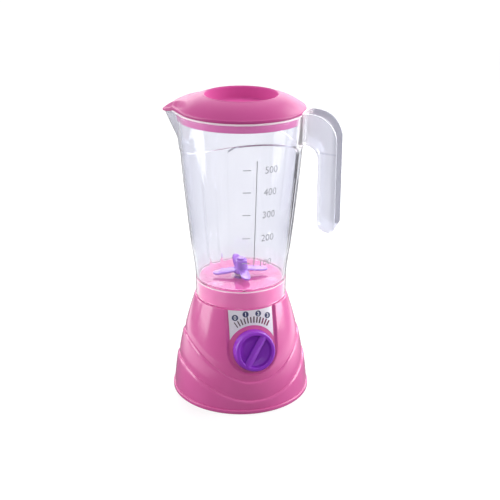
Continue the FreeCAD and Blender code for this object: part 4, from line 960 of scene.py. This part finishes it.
# The floor glows white to the eye and through the jug, more so far away. Gloss mirrors only a strip of it at
# each side of the blender.
distance = placed("LENGTH", white_place)
seen = worked("MULTIPLY_ADD", rays["Is Transmission Ray"], 0.75, rays["Is Camera Ray"])
glow = worked("MULTIPLY", seen, stepped(distance, 0.6, 2.0, 0.72, 0.92))
aside = worked("ABSOLUTE", reach_along(white_place, back_y, -back_x))
strip = worked("MULTIPLY", stepped(aside, 0.11, 0.17, 0.0, 1.3), stepped(distance, 0.33, 0.26))
fed(white_bsdf.inputs["Emission Strength"], worked("MULTIPLY_ADD", mirror_ray, strip, glow))
fed(white_bsdf.inputs["Emission Color"], (1, 1, 1))
floor.data.materials.append(white)
floor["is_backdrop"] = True

scene = bpy.context.scene
scene.world = bpy.data.worlds.new("studio")
scene.world.use_nodes = True
air = scene.world.node_tree
rays = air.nodes.new("ShaderNodeLightPath").outputs
way = air.nodes.new("ShaderNodeTexCoord").outputs["Generated"]
room = air.nodes.new("ShaderNodeValToRGB")
room.color_ramp.interpolation = "EASE"
for stop, colour in ((0.0, (0.16, 0.16, 0.18)), (0.35, (0.13, 0.13, 0.17)), (0.54, (0.22, 0.22, 0.30)),
                     (0.66, (0.34, 0.34, 0.44)), (0.76, (1.0, 1.0, 1.0)), (1.0, (1.0, 1.0, 1.0))):
    stops = room.color_ramp.elements
    mark = stops.new(stop) if stop not in (0.0, 1.0) else stops[int(stop)]
    mark.color = (*colour, 1)
fed(room.inputs["Fac"], stepped(reach_along(way, back_x, back_y), -1.0, 1.0))
ceiling = stepped(reach_along(way, 0, 0, 1), 0.55, 0.80, smooth=True)
around = blended(ceiling, room.outputs["Color"], (1.5, 1.5, 1.5))
# Through the jug the room's grey is lifted, and in reflections and on plain surfaces it is dimmed.
lifted = air.nodes.new("ShaderNodeGamma")
fed(lifted.inputs["Color"], around)
fed(lifted.inputs["Gamma"], 0.3)
dimmed = placed("MULTIPLY", around, (0.5, 0.5, 0.5))
shown = blended(rays["Is Transmission Ray"], dimmed, lifted.outputs["Color"])
for ray, colour in (("Is Diffuse Ray", (0.34, 0.34, 0.35)), ("Is Camera Ray", (1, 1, 1))):
    shown = blended(rays[ray], shown, colour)
fed(air.nodes["Background"].inputs["Color"], shown)


def lamp(name, spot, aim, wide, tall, power):
    """A soft lamp of that width and height, turned towards a point."""
    fresh()
    bpy.ops.object.light_add(type="AREA", location=spot)
    light = bpy.context.object
    light.name = name
    light.data.shape, light.data.size, light.data.size_y, light.data.energy = "RECTANGLE", wide, tall, power
    light.rotation_euler = (Vector(aim) - Vector(spot)).to_track_quat("-Z", "Y").to_euler()


middle = (0, 0, 0.15)
lamp("left_softbox", (-1.00, 0.15, 0.44), middle, 0.62, 0.95, 7.8)
lamp("left_rim", (-0.80, 0.66, 0.36), middle, 0.34, 0.75, 3.0)
lamp("right_softbox", (0.95, -0.12, 0.45), middle, 0.60, 1.00, 12.0)
lamp("right_rim", (0.80, 0.50, 0.50), middle, 0.34, 0.95, 4.5)
lamp("back_softbox", (0.25, 1.00, 0.48), (0, 0, 0.12), 1.20, 0.50, 4.0)
for name, spot, power in (("front_fill", (-0.15, -1.05, 0.85), 5.3), ("back_fill", (0.20, 0.80, 0.90), 9.0)):
    lamp(name, spot, (0, 0, 0.11), 0.60, 0.60, power)
    bpy.context.object.visible_glossy = False

fresh()
bpy.ops.object.camera_add()
camera = bpy.context.object
camera.data.lens, camera.data.sensor_width, camera.data.clip_start = 72, 36, 0.01
camera_spot, camera_azimuth, camera_tilt, camera_roll = (-0.17037, -0.74130, 0.41292), -13.5, 68.94, 0.333
stand = Matrix.Translation(camera_spot)
for angle, axis in ((camera_azimuth, "Z"), (camera_tilt, "X"), (camera_roll, "Z")):
    stand = stand @ Matrix.Rotation(math.radians(angle), 4, axis)
camera.matrix_world = stand
scene.camera = camera
scene.view_settings.view_transform = "Standard"

low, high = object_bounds()
